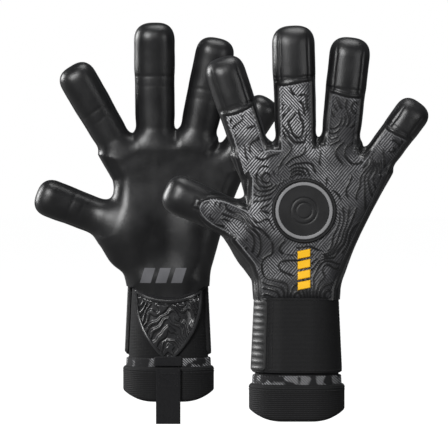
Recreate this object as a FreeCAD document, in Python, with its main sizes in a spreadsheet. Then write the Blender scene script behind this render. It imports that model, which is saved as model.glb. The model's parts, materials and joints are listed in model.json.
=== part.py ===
# A pair of goalkeeper gloves, worn height, fingers up. Millimetres, +Z up.
#
# The origin is the centre of the right glove's cuff mouth. The right glove shows its back to -Y and
# the left glove stands behind it with its palm to -Y, so the two palms face each other, thumbs to -X.
# Each finger is a foam channel, a textile back and a foam cap, hinged at the knuckle and at the
# middle joint; the strap swings off the wrist and the pull tab swings off the cuff.

import FreeCAD, Part
import math
import os
import re
import Sketcher

doc = FreeCAD.newDocument("goalkeeper_gloves")
sheet = doc.addObject("Spreadsheet::Sheet", "sizes")

FINGERS = ["thumb", "index", "middle", "ring", "little"]
# palm is the side that the palm faces along Y
GLOVES = {"right": {"palm": 1}, "left": {"palm": -1}}

SIZES = {
    # the pair
    "left_glove_x": -92,
    "left_glove_y": 200,
    "rest_gap": 0.3,
    # finger sections and lengths, from the web to the cap and the cap itself
    "thumb_width": 28,
    "index_width": 27.5,
    "middle_width": 30,
    "ring_width": 28.5,
    "little_width": 24.5,
    "thumb_shaft": 28,
    "index_shaft": 29,
    "middle_shaft": 43,
    "ring_shaft": 34,
    "little_shaft": 25,
    "thumb_cap": 28,
    "index_cap": 39,
    "middle_cap": 40,
    "ring_cap": 40,
    "little_cap": 27,
    "finger_depth": 26,
    "finger_corner": 8,
    "finger_wall": 4,
    "back_share_depth": 10,
    "cap_dome": 7,
    "cap_end_extra": 1,
    # where the right glove's fingers stand, how high above the wrist, and how far each leans from upright
    "right_middle_x": -0.6,
    "right_thumb_x": -41,
    "right_thumb_rise": 51,
    "right_index_rise": 101,
    "right_middle_rise": 105,
    "right_ring_rise": 106,
    "right_little_rise": 92,
    "right_thumb_lean": -66,
    "right_index_lean": -18,
    "right_middle_lean": -1.5,
    "right_ring_lean": 6.2,
    "right_little_lean": 36,
    "right_index_web": 3.5,
    "right_ring_web": 1.6,
    "right_little_web": 1,
    # and the left glove's
    "left_middle_x": -9.8,
    "left_thumb_x": -45,
    "left_thumb_rise": 45,
    "left_index_rise": 100,
    "left_middle_rise": 108,
    "left_ring_rise": 107,
    "left_little_rise": 91,
    "left_thumb_lean": -69,
    "left_index_lean": -30,
    "left_middle_lean": -0.5,
    "left_ring_lean": 12,
    "left_little_lean": 33,
    "left_index_web": 1.5,
    "left_ring_web": 2,
    "left_little_web": 1,
    # the hand between the wrist and the fingers
    "hand_cavity": 24,
    "palm_foam": 5.5,
    "back_foam": 4.5,
    "side_wall": 4,
    "web_depth": 12,
    "web_inset": 3,
    "plate_edge": 2.5,
    "wrist_top": 88,
    "heel_half_width": 29,
    "heel_rise": 20,
    "crotch_rise": 17,
    "side_bow": 1,
    # the wrist, as rings round a flat core
    "wrist_core": 9.5,
    "liner_radius": 17,
    "liner_wall": 0.7,
    "bandage_wall": 2.5,
    "bandage_foot": 2,
    "rim_step": 1,
    "hem_wall": 4.1,
    "hem_height": 26,
    "insert_wall": 1,
    "insert_drop": 6,
    "insert_inset": 1,
    "insert_point": 30,
    "insert_half_width": 27,
    "piping_wall": 1.8,
    "piping_width": 2.5,
    "piping_miter": 1.3,
    "loop_wall": 0.8,
    "hook_wall": 0.8,
    "strap_wall": 2.2,
    "strap_foot": 33.5,
    "strap_drop": 1,
    "patch_inset": 5,
    "loop_half_length": 26,
    "hook_inner_end": 8,
    "tab_wall": 2,
    "tab_width": 12,
    # what is sewn and bonded on
    "medallion_x": 4.8,
    "medallion_rise": 59,
    "medallion_radius": 22.5,
    "medallion_wall": 1.2,
    "medallion_ring_outer": 19.8,
    "medallion_ring_inner": 17.8,
    "bar_width": 9,
    "bar_height": 5.6,
    "bar_pitch": 7.2,
    "bar_rise": 4.5,
    "bar_wall": 1.2,
    "pull_width": 18,
    "pull_length": 41,
    "pull_wall": 2.4,
    "pull_top": 25,
    "right_pull_swing": 60,
    "left_pull_swing": 0,
}


def fill_sheet():
    """Each size in a cell of its own, with its name as alias."""
    for row, (alias, size) in enumerate(SIZES.items(), start=1):
        sheet.set(f"A{row}", alias)
        sheet.set(f"B{row}", str(size))
        sheet.setAlias(f"B{row}", alias)
    doc.recompute()


def bound(formula):
    """A formula with each alias, which always has an underscore, pointed at the sheet."""
    return re.sub(r"\b[a-z]+(?:_[a-z]+)+\b", lambda found: "sizes." + found.group(0), str(formula))


def number(formula):
    """What a formula comes to now, worked out by the sheet from its own cells."""
    return as_float(sheet.evalExpression(bound(formula)))


def as_float(result):
    return float(result.Value) if hasattr(result, "Value") else float(result)


def new_body(label):
    body = doc.addObject("PartDesign::Body", label)
    body.Label = label
    return body


def new_sketch(body, plane):
    """An empty sketch on one of the body's own origin planes."""
    sketch = body.newObject("Sketcher::SketchObject", body.Name + "_sketch")
    support = next(f for f in body.Origin.OriginFeatures if f.Role == plane)
    sketch.AttachmentSupport = [(support, "")]
    sketch.MapMode = "FlatFace"
    return sketch


def hold(sketch, kind, geometry, point, formula):
    """One dimension of a sketch, bound to the sheet."""
    if kind == "Radius":
        constraint = Sketcher.Constraint(kind, geometry, number(formula))
    else:
        constraint = Sketcher.Constraint(kind, geometry, point, number(formula))
    index = sketch.addConstraint(constraint)
    sketch.setExpression(f"Constraints[{index}]", bound(formula))


def add_outline(sketch, corners):
    """A closed outline with straight sides through corners, each a pair of formulas."""
    first = sketch.GeometryCount
    places = [FreeCAD.Vector(number(x), number(y), 0) for x, y in corners]
    count = len(corners)
    for i in range(count):
        sketch.addGeometry(Part.LineSegment(places[i], places[(i + 1) % count]))
    for i in range(count):
        sketch.addConstraint(Sketcher.Constraint("Coincident", first + i, 2, first + (i + 1) % count, 1))
    for i, (x, y) in enumerate(corners):
        hold(sketch, "DistanceX", first + i, 1, x)
        hold(sketch, "DistanceY", first + i, 1, y)


def add_stadium(sketch, radius):
    """A closed stadium round the flat wrist core: two half circles and two straights."""
    first = sketch.GeometryCount
    core, reach = number("wrist_core"), number(radius)
    up = FreeCAD.Vector(0, 0, 1)
    ends = [(core, -90), (-core, 90)]
    for x, start in ends:
        circle = Part.Circle(FreeCAD.Vector(x, 0, 0), up, reach)
        begin = math.radians(start)
        sketch.addGeometry(Part.ArcOfCircle(circle, begin, begin + math.pi))
    for side in (1, -1):
        a = FreeCAD.Vector(core * side, reach * side, 0)
        b = FreeCAD.Vector(-core * side, reach * side, 0)
        sketch.addGeometry(Part.LineSegment(a, b))
    for i, sign in ((0, ""), (1, "-")):
        hold(sketch, "DistanceX", first + i, 3, sign + "wrist_core")
        hold(sketch, "DistanceY", first + i, 3, "0")
        hold(sketch, "Radius", first + i, 0, radius)
        hold(sketch, "DistanceX", first + i, 1, sign + "wrist_core")
        hold(sketch, "DistanceX", first + i, 2, sign + "wrist_core")
    for line, arc_from, arc_to in ((2, 0, 1), (3, 1, 0)):
        sketch.addConstraint(Sketcher.Constraint("Coincident", first + line, 1, first + arc_from, 2))
        sketch.addConstraint(Sketcher.Constraint("Coincident", first + line, 2, first + arc_to, 1))


def pad(body, sketch, length, back=False):
    feature = body.newObject("PartDesign::Pad", body.Name + "_pad")
    feature.Profile = sketch
    feature.setExpression("Length", bound(length))
    feature.Reversed = back
    return feature


def pocket(body, sketch, length, back=False):
    feature = body.newObject("PartDesign::Pocket", body.Name + "_pocket")
    feature.Profile = sketch
    feature.setExpression("Length", bound(length))
    feature.Reversed = back
    return feature


def round_edges(body, base, radius, wanted):
    """A fillet on the edges of base that wanted(edge) picks."""
    doc.recompute()
    names = [f"Edge{i}" for i, edge in enumerate(base.Shape.Edges, start=1) if wanted(edge)]
    feature = body.newObject("PartDesign::Fillet", body.Name + "_fillet")
    feature.Base = (base, names)
    feature.setExpression("Radius", bound(radius))
    return feature


def along_z(edge):
    return edge.BoundBox.ZLength > 1 and edge.BoundBox.XLength + edge.BoundBox.YLength < 1e-4


def put(body, x, y, z, lean=None, swing=None):
    """The body's place; lean turns it about Y, and swing about X, in degrees."""
    body.Placement = FreeCAD.Placement(
        FreeCAD.Vector(), FreeCAD.Rotation(FreeCAD.Vector(0, 1, 0) if lean else FreeCAD.Vector(1, 0, 0), 1)
    )
    body.setExpression("Placement.Base.x", bound(x))
    body.setExpression("Placement.Base.y", bound(y))
    body.setExpression("Placement.Base.z", bound(z))
    body.setExpression("Placement.Rotation.Angle", f"({bound(lean or swing or '0')}) * 1 deg")


def glove_x(glove):
    return "left_glove_x" if glove == "left" else "0"


def glove_y(glove):
    return "left_glove_y" if glove == "left" else "0"


# Where each finger starts, its lean, and the corners of its mouth, as formulas in the glove's plane.


def lean_of(glove, finger):
    return f"{glove}_{finger}_lean"


def half_span(glove, finger):
    """Half the finger's width, measured along X."""
    return f"({finger}_width / 2 * cos({lean_of(glove, finger)} * 1 deg))"


def base_x(glove, finger):
    if finger in ("thumb", "middle"):
        return f"{glove}_{finger}_x"
    inner = {"index": "middle", "ring": "middle", "little": "ring"}[finger]
    way = "-" if finger == "index" else "+"
    spans = f"{half_span(glove, inner)} + {glove}_{finger}_web + {half_span(glove, finger)}"
    return f"({base_x(glove, inner)} {way} ({spans}))"


def base_z(glove, finger):
    return f"(wrist_top + {glove}_{finger}_rise)"


def mouth_corner(glove, finger, side, inset="0"):
    """The mouth's corner to -X (side -1) or +X (side 1), or a place inset from it along the mouth."""
    lean = lean_of(glove, finger)
    reach = f"({side}) * ({finger}_width / 2 - ({inset}))"
    x = f"{base_x(glove, finger)} + {reach} * cos({lean} * 1 deg)"
    z = f"{base_z(glove, finger)} - {reach} * sin({lean} * 1 deg)"
    return x, z


def between(start, end, share, bulge="0"):
    """A point part of the way along a side, pushed out by bulge along X."""
    x = f"({start[0]}) * {1 - share} + ({end[0]}) * {share} + ({bulge})"
    z = f"({start[1]}) * {1 - share} + ({end[1]}) * {share}"
    return x, z


def heel_corner(side):
    return f"({side}) * heel_half_width", "wrist_top"


def thumb_side_below(glove):
    """The hand's edge from the wrist to the thumb."""
    heel = heel_corner(-1)
    return [heel, (heel[0] + " - side_bow", "wrist_top + heel_rise"), mouth_corner(glove, "thumb", -1)]


def thumb_side_above(glove):
    """The hand's edge from the thumb's crotch to the index finger."""
    crotch = mouth_corner(glove, "thumb", 1)
    index = mouth_corner(glove, "index", -1)
    return [crotch, (crotch[0], f"({crotch[1]}) + crotch_rise"), index]


def little_side(glove):
    """The hand's edge from the little finger down to the wrist."""
    top = mouth_corner(glove, "little", 1)
    heel = heel_corner(1)
    return [top, between(top, heel, 0.5, "-side_bow"), between(top, heel, 0.8, "-side_bow"), heel]


def hand_outline(glove):
    """The hand's edge all round, open only in name at the wrist and the finger mouths."""
    corners = thumb_side_below(glove) + thumb_side_above(glove)
    corners.append(mouth_corner(glove, "index", 1))
    for finger in ("middle", "ring"):
        corners.append(mouth_corner(glove, finger, -1))
        corners.append(mouth_corner(glove, finger, 1))
    corners.append(mouth_corner(glove, "little", -1))
    return corners + little_side(glove)


# Fingers: in each one's own frame +Z runs up the finger and palm * Y is its palm side.


def finger_channel(glove, finger, label, closed, opening):
    """A foam channel open to one side, from the knuckle to the cap."""
    body = new_body(label)
    sketch = new_sketch(body, "XY_Plane")
    half, inner = f"{finger}_width / 2", f"({finger}_width / 2 - finger_wall)"
    floor = f"({closed}) - ({closed}) / abs({closed}) * finger_wall"
    corners = [(f"-{half}", opening), (f"-{half}", closed), (half, closed), (half, opening)]
    corners += [(inner, opening), (inner, floor), (f"-{inner}", floor), (f"-{inner}", opening)]
    add_outline(sketch, corners)
    shaft = pad(body, sketch, f"{finger}_shaft - rest_gap")
    wall, outside = number("finger_wall"), number(closed)
    outer = round_edges(
        body, shaft, "finger_corner", lambda edge: along_z(edge) and abs(edge.CenterOfMass.y - outside) < 1e-4
    )
    inside = outside - wall * (1 if outside > 0 else -1)
    round_edges(
        body,
        outer,
        "finger_corner - finger_wall",
        lambda edge: along_z(edge) and abs(edge.CenterOfMass.y - inside) < 1e-4,
    )
    place_on_finger(body, glove, finger, "rest_gap")


def finger_cap(glove, finger):
    """The foam cap that closes the finger past its middle joint."""
    body = new_body(f"{glove}_{finger}_cap")
    sketch = new_sketch(body, "XY_Plane")
    half, deep = f"{finger}_width / 2", "finger_depth / 2"
    add_outline(sketch, [(f"-{half}", f"-{deep}"), (half, f"-{deep}"), (half, deep), (f"-{half}", deep)])
    block = pad(body, sketch, f"{finger}_cap - rest_gap")
    sides = round_edges(body, block, "finger_corner", along_z)
    top = number(f"{finger}_cap - rest_gap")
    round_edges(
        body,
        sides,
        "cap_dome",
        lambda edge: edge.BoundBox.ZLength < 1e-4 and abs(edge.CenterOfMass.z - top) < 1e-4,
    )
    hollow = new_sketch(body, "XY_Plane")
    half, deep = f"({finger}_width / 2 - finger_wall)", "(finger_depth / 2 - finger_wall)"
    add_outline(hollow, [(f"-{half}", f"-{deep}"), (half, f"-{deep}"), (half, deep), (f"-{half}", deep)])
    cavity = pocket(body, hollow, f"{finger}_cap - rest_gap - finger_wall - cap_end_extra", back=True)
    inside = number(half)
    round_edges(
        body,
        cavity,
        "finger_corner - finger_wall",
        lambda edge: along_z(edge) and abs(abs(edge.CenterOfMass.x) - inside) < 1e-4,
    )
    place_on_finger(body, glove, finger, f"{finger}_shaft + rest_gap")


def place_on_finger(body, glove, finger, up):
    lean = lean_of(glove, finger)
    x = f"{glove_x(glove)} + {base_x(glove, finger)} + ({up}) * sin({lean} * 1 deg)"
    z = f"{base_z(glove, finger)} + ({up}) * cos({lean} * 1 deg)"
    put(body, x, glove_y(glove), z, lean=lean)


def make_finger(glove, finger):
    palm = GLOVES[glove]["palm"]
    seam = f"({-palm}) * (finger_depth / 2 - back_share_depth)"
    finger_channel(glove, finger, f"{glove}_{finger}_latex", f"({palm}) * finger_depth / 2", seam)
    finger_channel(glove, finger, f"{glove}_{finger}_back", f"({-palm}) * finger_depth / 2", seam)
    finger_cap(glove, finger)


# The hand: two foam plates, a palm and a back, with gussets between them.


def plate(glove, label, side, wall):
    """A foam plate on the palm side (side 1) or the back (side -1) of the hand."""
    body = new_body(label)
    toward = side * GLOVES[glove]["palm"]
    sketch = new_sketch(body, "XZ_Plane")
    add_outline(sketch, hand_outline(glove))
    base = pad(body, sketch, wall, back=toward > 0)
    outside = toward * number(wall)
    low, high = number("wrist_top"), number(f"{base_z(glove, 'little')} - web_depth")
    round_edges(
        body,
        base,
        "plate_edge",
        lambda edge: abs(edge.CenterOfMass.y - outside) < 1e-4
        and edge.BoundBox.YLength < 1e-4
        and low + 1 < edge.CenterOfMass.z < high
        and edge.CenterOfMass.x > 0,
    )
    put(body, glove_x(glove), f"{glove_y(glove)} + ({toward}) * hand_cavity / 2", "0")


def strip_outline(side_corners, inward):
    """A side of the hand and the same side moved in by the gusset's thickness."""
    moved = [(f"{x} + ({inward}) * side_wall", z) for x, z in reversed(side_corners)]
    return side_corners + moved


def web_outline(glove, inner, outer):
    """A short web under the crotch of two fingers, no wider than their walls."""
    low_side = mouth_corner(glove, inner, 1, "web_inset")
    high_side = mouth_corner(glove, outer, -1, "web_inset")
    top = [low_side, mouth_corner(glove, inner, 1), mouth_corner(glove, outer, -1), high_side]
    foot = [(x, f"({z}) - web_depth") for x, z in (high_side, low_side)]
    return top + foot


def gussets(glove):
    """The side strips between the plates and the short webs between the finger mouths."""
    body = new_body(f"{glove}_gussets")
    body.AllowCompound = True
    sketch = new_sketch(body, "XZ_Plane")
    add_outline(sketch, strip_outline(thumb_side_below(glove), 1))
    add_outline(sketch, strip_outline(thumb_side_above(glove), 1))
    add_outline(sketch, strip_outline(little_side(glove), -1))
    for inner, outer in (("index", "middle"), ("middle", "ring"), ("ring", "little")):
        add_outline(sketch, web_outline(glove, inner, outer))
    pad(body, sketch, "hand_cavity", back=True)
    put(body, glove_x(glove), f"{glove_y(glove)} - hand_cavity / 2", "0")


# The wrist: stadium rings round one core, each seated on the one inside it.

BANDAGE_INNER = "(liner_radius + liner_wall)"
BANDAGE_OUTER = "(liner_radius + liner_wall + bandage_wall)"
HOOK_INNER = f"({BANDAGE_OUTER} + loop_wall + rest_gap)"
STRAP_INNER = f"({HOOK_INNER} + hook_wall)"
STRAP_OUTER = f"({STRAP_INNER} + strap_wall)"
HEM_OUTER = f"({BANDAGE_OUTER} + hem_wall)"
INSERT_OUTER = f"({BANDAGE_OUTER} + insert_wall)"


def ring(glove, label, inner, outer, foot, height):
    """A whole ring, standing at foot."""
    body = new_body(label)
    sketch = new_sketch(body, "XY_Plane")
    add_stadium(sketch, outer)
    add_stadium(sketch, inner)
    pad(body, sketch, height)
    put(body, glove_x(glove), glove_y(glove), foot)
    return body


def rectangle(low_x, high_x, low_y, high_y):
    return [(low_x, low_y), (high_x, low_y), (high_x, high_y), (low_x, high_y)]


# Farther out than any ring reaches, for the outlines that cut one.
FAR = f"(2 * ({HEM_OUTER} + wrist_core) + wrist_top)"


def cut_box(body, height, low_x, high_x, low_y, high_y):
    sketch = new_sketch(body, "XY_Plane")
    add_outline(sketch, rectangle(low_x, high_x, low_y, high_y))
    pocket(body, sketch, height, back=True)


def keep_side(body, height, toward, edge):
    """Cut a ring down to what lies more than edge to +Y (toward 1) or -Y of the core."""
    cut_box(body, height, f"-{FAR}", FAR, f"({toward}) * {edge}", f"({-toward}) * {FAR}")


def dorsal_band(glove, label, inner, outer, foot, height, low_x=None, high_x=None):
    """Part of a ring on the back of the wrist, cut off at low_x and high_x where they are given."""
    body = ring(glove, label, inner, outer, foot, height)
    keep_side(body, height, -GLOVES[glove]["palm"], "rest_gap")
    if low_x:
        cut_box(body, height, f"-{FAR}", low_x, f"-{FAR}", FAR)
    if high_x:
        cut_box(body, height, high_x, FAR, f"-{FAR}", FAR)


INSERT_HEIGHT = "(wrist_top - insert_drop - insert_point)"


def cut_outside_vee(body, glove):
    """Leave only what lies in the V, seen along Y."""
    for side in ("-", ""):
        sketch = new_sketch(body, "XZ_Plane")
        outline = [("0", "0"), (f"{side}insert_half_width", INSERT_HEIGHT), (f"{side}insert_half_width", FAR)]
        add_outline(sketch, outline + [(side + FAR, FAR), (side + FAR, f"-{FAR}"), ("0", f"-{FAR}")])
        pocket(body, sketch, FAR, back=GLOVES[glove]["palm"] < 0)


def palmar_vee(glove, label, inner, outer):
    """The palm side of a ring, cut to the heel's V."""
    body = ring(glove, label, inner, outer, "insert_point", INSERT_HEIGHT)
    keep_side(body, INSERT_HEIGHT, GLOVES[glove]["palm"], "insert_inset")
    cut_outside_vee(body, glove)
    return body


def heel_insert(glove):
    """The embossed V that is let into the wrist below the palm."""
    palmar_vee(glove, f"{glove}_heel_insert", BANDAGE_OUTER, INSERT_OUTER)


def heel_piping(glove):
    """The raised edge that is sewn round the V."""
    body = palmar_vee(glove, f"{glove}_heel_piping", INSERT_OUTER, f"({INSERT_OUTER} + piping_wall)")
    sketch = new_sketch(body, "XZ_Plane")
    foot = f"(piping_miter * piping_width * {INSERT_HEIGHT} / insert_half_width)"
    top = f"({INSERT_HEIGHT} - piping_width)"
    half = f"(insert_half_width * ({top} - {foot}) / {INSERT_HEIGHT})"
    add_outline(sketch, [("0", foot), (half, top), (f"-{half}", top)])
    pocket(body, sketch, FAR, back=GLOVES[glove]["palm"] < 0)


def make_wrist(glove):
    """The liner, bandage, hem and heel V, then the strap and its patches on the back."""
    liner_foot, liner_height = "2 * bandage_foot - rim_step", "wrist_top - 2 * bandage_foot"
    ring(glove, f"{glove}_inner_liner", "liner_radius", BANDAGE_INNER, liner_foot, liner_height)
    bandage_height = "wrist_top - bandage_foot"
    ring(glove, f"{glove}_wrist_bandage", BANDAGE_INNER, BANDAGE_OUTER, "bandage_foot", bandage_height)
    ring(glove, f"{glove}_cuff_hem", BANDAGE_OUTER, HEM_OUTER, "0", "hem_height")
    heel_insert(glove)
    heel_piping(glove)
    strap_height = "(wrist_top - strap_drop - strap_foot)"
    patch = ("strap_foot + patch_inset", f"({strap_height} - 2 * patch_inset)")
    loop_outer = f"({BANDAGE_OUTER} + loop_wall)"
    loop_ends = ("-loop_half_length", "loop_half_length")
    dorsal_band(glove, f"{glove}_loop_patch", BANDAGE_OUTER, loop_outer, *patch, *loop_ends)
    hook_ends = ("-loop_half_length", "-hook_inner_end")
    dorsal_band(glove, f"{glove}_hook_patch", HOOK_INNER, STRAP_INNER, *patch, *hook_ends)
    dorsal_band(glove, f"{glove}_strap", STRAP_INNER, STRAP_OUTER, "strap_foot", strap_height)
    tab_outer = f"({STRAP_OUTER} + tab_wall)"
    tab_end = f"(tab_width - wrist_core - {tab_outer})"
    label = f"{glove}_strap_tab"
    dorsal_band(glove, label, STRAP_OUTER, tab_outer, "strap_foot", strap_height, high_x=tab_end)


# What is bonded on the back of the hand, and the pull tab sewn to the cuff.


def back_face(glove):
    """Where the hand's back surface lies along Y."""
    return f"{glove_y(glove)} - ({GLOVES[glove]['palm']}) * (hand_cavity / 2 + back_foam)"


def medallion(glove):
    """A round moulded badge: a disc with a raised ring."""
    body = new_body(f"{glove}_medallion")
    dorsal = -GLOVES[glove]["palm"]
    disc = (("medallion_radius",), "medallion_wall")
    raised_ring = (("medallion_ring_outer", "medallion_ring_inner"), "2 * medallion_wall")
    for radii, wall in (disc, raised_ring):
        sketch = new_sketch(body, "XZ_Plane")
        for radius in radii:
            circle = Part.Circle(FreeCAD.Vector(), FreeCAD.Vector(0, 0, 1), number(radius))
            index = sketch.addGeometry(circle)
            hold(sketch, "DistanceX", index, 3, "0")
            hold(sketch, "DistanceY", index, 3, "0")
            hold(sketch, "Radius", index, 0, radius)
        pad(body, sketch, wall, back=dorsal > 0)
    put(body, f"{glove_x(glove)} + medallion_x", back_face(glove), "wrist_top + medallion_rise")


BAR_COUNT = 4


def accent_bars(glove):
    """Raised bars in a column below the badge."""
    body = new_body(f"{glove}_accent_bars")
    body.AllowCompound = True
    dorsal = -GLOVES[glove]["palm"]
    sketch = new_sketch(body, "XZ_Plane")
    for step in range(BAR_COUNT):
        foot = f"{step} * bar_pitch"
        add_outline(sketch, rectangle("-bar_width / 2", "bar_width / 2", foot, f"{foot} + bar_height"))
    pad(body, sketch, "bar_wall", back=dorsal > 0)
    put(body, f"{glove_x(glove)} + medallion_x", back_face(glove), "wrist_top + bar_rise")


def pull_tab(glove):
    """A flat webbing loop that hangs from its seam on the palm side of the cuff."""
    body = new_body(f"{glove}_pull_tab")
    palm = GLOVES[glove]["palm"]
    sketch = new_sketch(body, "XZ_Plane")
    add_outline(sketch, rectangle("-pull_width / 2", "pull_width / 2", "-pull_length", "0"))
    strip = pad(body, sketch, "pull_wall", back=palm > 0)
    foot = -number("pull_length")
    round_edges(
        body,
        strip,
        "pull_width / 4",
        lambda edge: edge.BoundBox.XLength + edge.BoundBox.ZLength < 1e-4 and edge.CenterOfMass.z < foot + 1,
    )
    seat = f"{glove_y(glove)} + ({palm}) * ({HEM_OUTER} + rest_gap)"
    put(body, glove_x(glove), seat, "pull_top", swing=f"({palm}) * {glove}_pull_swing")


def check_document():
    """Stop if any object failed or any sub-part has no sound shape."""
    doc.recompute()
    for thing in doc.Objects:
        if {"Invalid", "Error"} & set(thing.State):
            raise RuntimeError(f"{thing.Name} failed: {thing.State}")
    for body in doc.findObjects("PartDesign::Body"):
        if body.Shape.isNull() or not body.Shape.isValid() or not body.Shape.Solids:
            raise RuntimeError(f"{body.Label} has no sound shape")


def export_parts():
    os.makedirs("parts", exist_ok=True)
    for body in doc.findObjects("PartDesign::Body"):
        body.Shape.exportStep(f"parts/{body.Label}.step")
        print(f"{body.Label:24} {len(body.Shape.Solids)} solids {body.Shape.Volume:9.0f} mm3")


fill_sheet()
for glove in GLOVES:
    for finger in FINGERS:
        make_finger(glove, finger)
    plate(glove, f"{glove}_palm_latex", 1, "palm_foam")
    plate(glove, f"{glove}_back_panel", -1, "back_foam")
    gussets(glove)
    make_wrist(glove)
    medallion(glove)
    accent_bars(glove)
    pull_tab(glove)
check_document()
export_parts()
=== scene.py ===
# %% [markdown]
# # A pair of goalkeeper gloves
# A goalkeeper glove is a foam and textile shell round a hand: smooth latex foam on the palm, rolled
# round the sides of the fingers, a printed and embossed textile on the back, an elastic bandage and
# a strap at the wrist. The CAD model says where each finger starts, how wide it is and how it bends.
# Everything here takes its place from that frame, so nothing has to be fitted afterwards.

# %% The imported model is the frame
import json
import math
import bpy
import numpy as np
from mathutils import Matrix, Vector


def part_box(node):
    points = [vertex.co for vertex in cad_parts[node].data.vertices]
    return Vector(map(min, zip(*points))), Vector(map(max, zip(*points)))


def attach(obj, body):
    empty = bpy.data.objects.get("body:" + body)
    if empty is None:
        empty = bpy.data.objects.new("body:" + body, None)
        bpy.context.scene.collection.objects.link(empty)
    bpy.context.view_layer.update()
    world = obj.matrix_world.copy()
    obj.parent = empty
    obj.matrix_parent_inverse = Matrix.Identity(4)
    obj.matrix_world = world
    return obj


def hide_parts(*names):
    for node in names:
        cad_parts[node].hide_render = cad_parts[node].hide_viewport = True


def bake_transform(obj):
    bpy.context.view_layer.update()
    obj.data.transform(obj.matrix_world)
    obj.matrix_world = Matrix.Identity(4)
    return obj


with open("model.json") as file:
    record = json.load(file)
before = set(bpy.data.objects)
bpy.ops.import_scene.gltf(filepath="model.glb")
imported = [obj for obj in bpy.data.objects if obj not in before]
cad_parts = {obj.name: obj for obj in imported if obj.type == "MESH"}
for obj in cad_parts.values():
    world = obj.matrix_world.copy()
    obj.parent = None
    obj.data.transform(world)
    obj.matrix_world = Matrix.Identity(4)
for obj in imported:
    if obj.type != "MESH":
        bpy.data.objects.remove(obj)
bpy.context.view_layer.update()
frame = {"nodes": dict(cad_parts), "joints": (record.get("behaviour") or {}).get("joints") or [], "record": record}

JOINTS = {joint["name"]: joint for joint in frame["joints"]}
FINGERS = ("thumb", "index", "middle", "ring", "little")
GLOVES = ("right", "left")
ROOT = "gloves"
MM = 1000.0

# %% [markdown]
# ## Camera, light and background
# A long lens far away keeps the two gloves almost the same size, as in a catalogue picture. The
# gloves are black, so their shape is read from soft highlights: one large lamp high on the left, a
# weaker one on the right and a low world light. The white background is what camera rays see; it
# doesn't light the gloves. Nothing here is metal or glass, so only transmission rays join them.

# %% Camera
AIM = Vector((-0.051, 0.0, 0.1372))
DISTANCE = 3.6
ELEVATION = math.radians(2)
VIEW_WIDTH = 0.3136
camera_data = bpy.data.cameras.new("camera")
camera_data.sensor_width = 36
camera_data.lens = 36 * DISTANCE / VIEW_WIDTH
camera = bpy.data.objects.new("camera", camera_data)
camera.location = AIM + DISTANCE * Vector((0, -math.cos(ELEVATION), math.sin(ELEVATION)))
camera.rotation_euler = (math.pi / 2 - ELEVATION, 0, 0)
bpy.context.collection.objects.link(camera)
bpy.context.scene.camera = camera
bpy.context.scene.view_settings.view_transform = "Standard"


# %% Lamps
def add_lamp(name, place, size, power, target=AIM):
    """A square soft box that faces its target."""
    data = bpy.data.lights.new(name, "AREA")
    data.size = size
    data.energy = power
    lamp = bpy.data.objects.new(name, data)
    lamp.location = place
    lamp.rotation_euler = (Vector(target) - Vector(place)).to_track_quat("-Z", "Y").to_euler()
    bpy.context.collection.objects.link(lamp)
    return lamp


add_lamp("key", (-1.2, -2.0, 1.3), 0.8, 60)
add_lamp("fill", (1.5, -1.8, 0.6), 1.0, 10)
add_lamp("rim_left", (-1.5, 0.7, 0.6), 0.7, 26)
add_lamp("top", (0.1, 0.1, 1.7), 0.9, 12)


# %% World and floor
def background_world(light):
    world = bpy.data.worlds.new("studio")
    world.use_nodes = True
    nodes, links = world.node_tree.nodes, world.node_tree.links
    nodes.clear()
    path = nodes.new("ShaderNodeLightPath")
    seen = nodes.new("ShaderNodeMath")
    seen.operation = "MAXIMUM"
    links.new(path.outputs["Is Camera Ray"], seen.inputs[0])
    links.new(path.outputs["Is Transmission Ray"], seen.inputs[1])
    ambient = nodes.new("ShaderNodeBackground")
    ambient.inputs["Color"].default_value = (0.93, 0.96, 1, 1)
    ambient.inputs["Strength"].default_value = light
    white = nodes.new("ShaderNodeBackground")
    white.inputs["Color"].default_value = (1, 1, 1, 1)
    mix = nodes.new("ShaderNodeMixShader")
    output = nodes.new("ShaderNodeOutputWorld")
    links.new(seen.outputs[0], mix.inputs[0])
    links.new(ambient.outputs[0], mix.inputs[1])
    links.new(white.outputs[0], mix.inputs[2])
    links.new(mix.outputs[0], output.inputs["Surface"])
    bpy.context.scene.world = world


def add_floor(height):
    """A pale floor that the camera sees almost white, with a trace of the gloves' shadow."""
    mesh = bpy.data.meshes.new("floor")
    reach = 6.0
    signs = ((-1, -1), (1, -1), (1, 1), (-1, 1))
    corners = [(x * reach, y * reach, height) for x, y in signs]
    mesh.from_pydata(corners, [], [(0, 1, 2, 3)])
    floor = bpy.data.objects.new("floor", mesh)
    bpy.context.collection.objects.link(floor)
    material = bpy.data.materials.new("floor_paper")
    material.use_nodes = True
    nodes, links = material.node_tree.nodes, material.node_tree.links
    paper = nodes["Principled BSDF"]
    paper.inputs["Base Color"].default_value = (0.2, 0.2, 0.2, 1)
    paper.inputs["Roughness"].default_value = 1
    paper.inputs["Specular IOR Level"].default_value = 0
    path = nodes.new("ShaderNodeLightPath")
    glow = nodes.new("ShaderNodeEmission")
    glow.inputs["Color"].default_value = (0.97, 0.97, 0.97, 1)
    links.new(path.outputs["Is Camera Ray"], glow.inputs["Strength"])
    add = nodes.new("ShaderNodeAddShader")
    links.new(paper.outputs[0], add.inputs[0])
    links.new(glow.outputs[0], add.inputs[1])
    links.new(add.outputs[0], nodes["Material Output"].inputs["Surface"])
    mesh.materials.append(material)


background_world(0.11)
add_floor(-0.06)

# %% [markdown]
# ## Reading the fingers from the frame
# Each finger has a knuckle hinge and a bend hinge. The line between them is the finger's direction,
# and the widths come from the CAD solids measured across that line. Work goes on in millimetres in
# the glove's own plane: x across, v towards the palm, z up. The left glove's palm faces -Y, so v
# runs the other way there.


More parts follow.
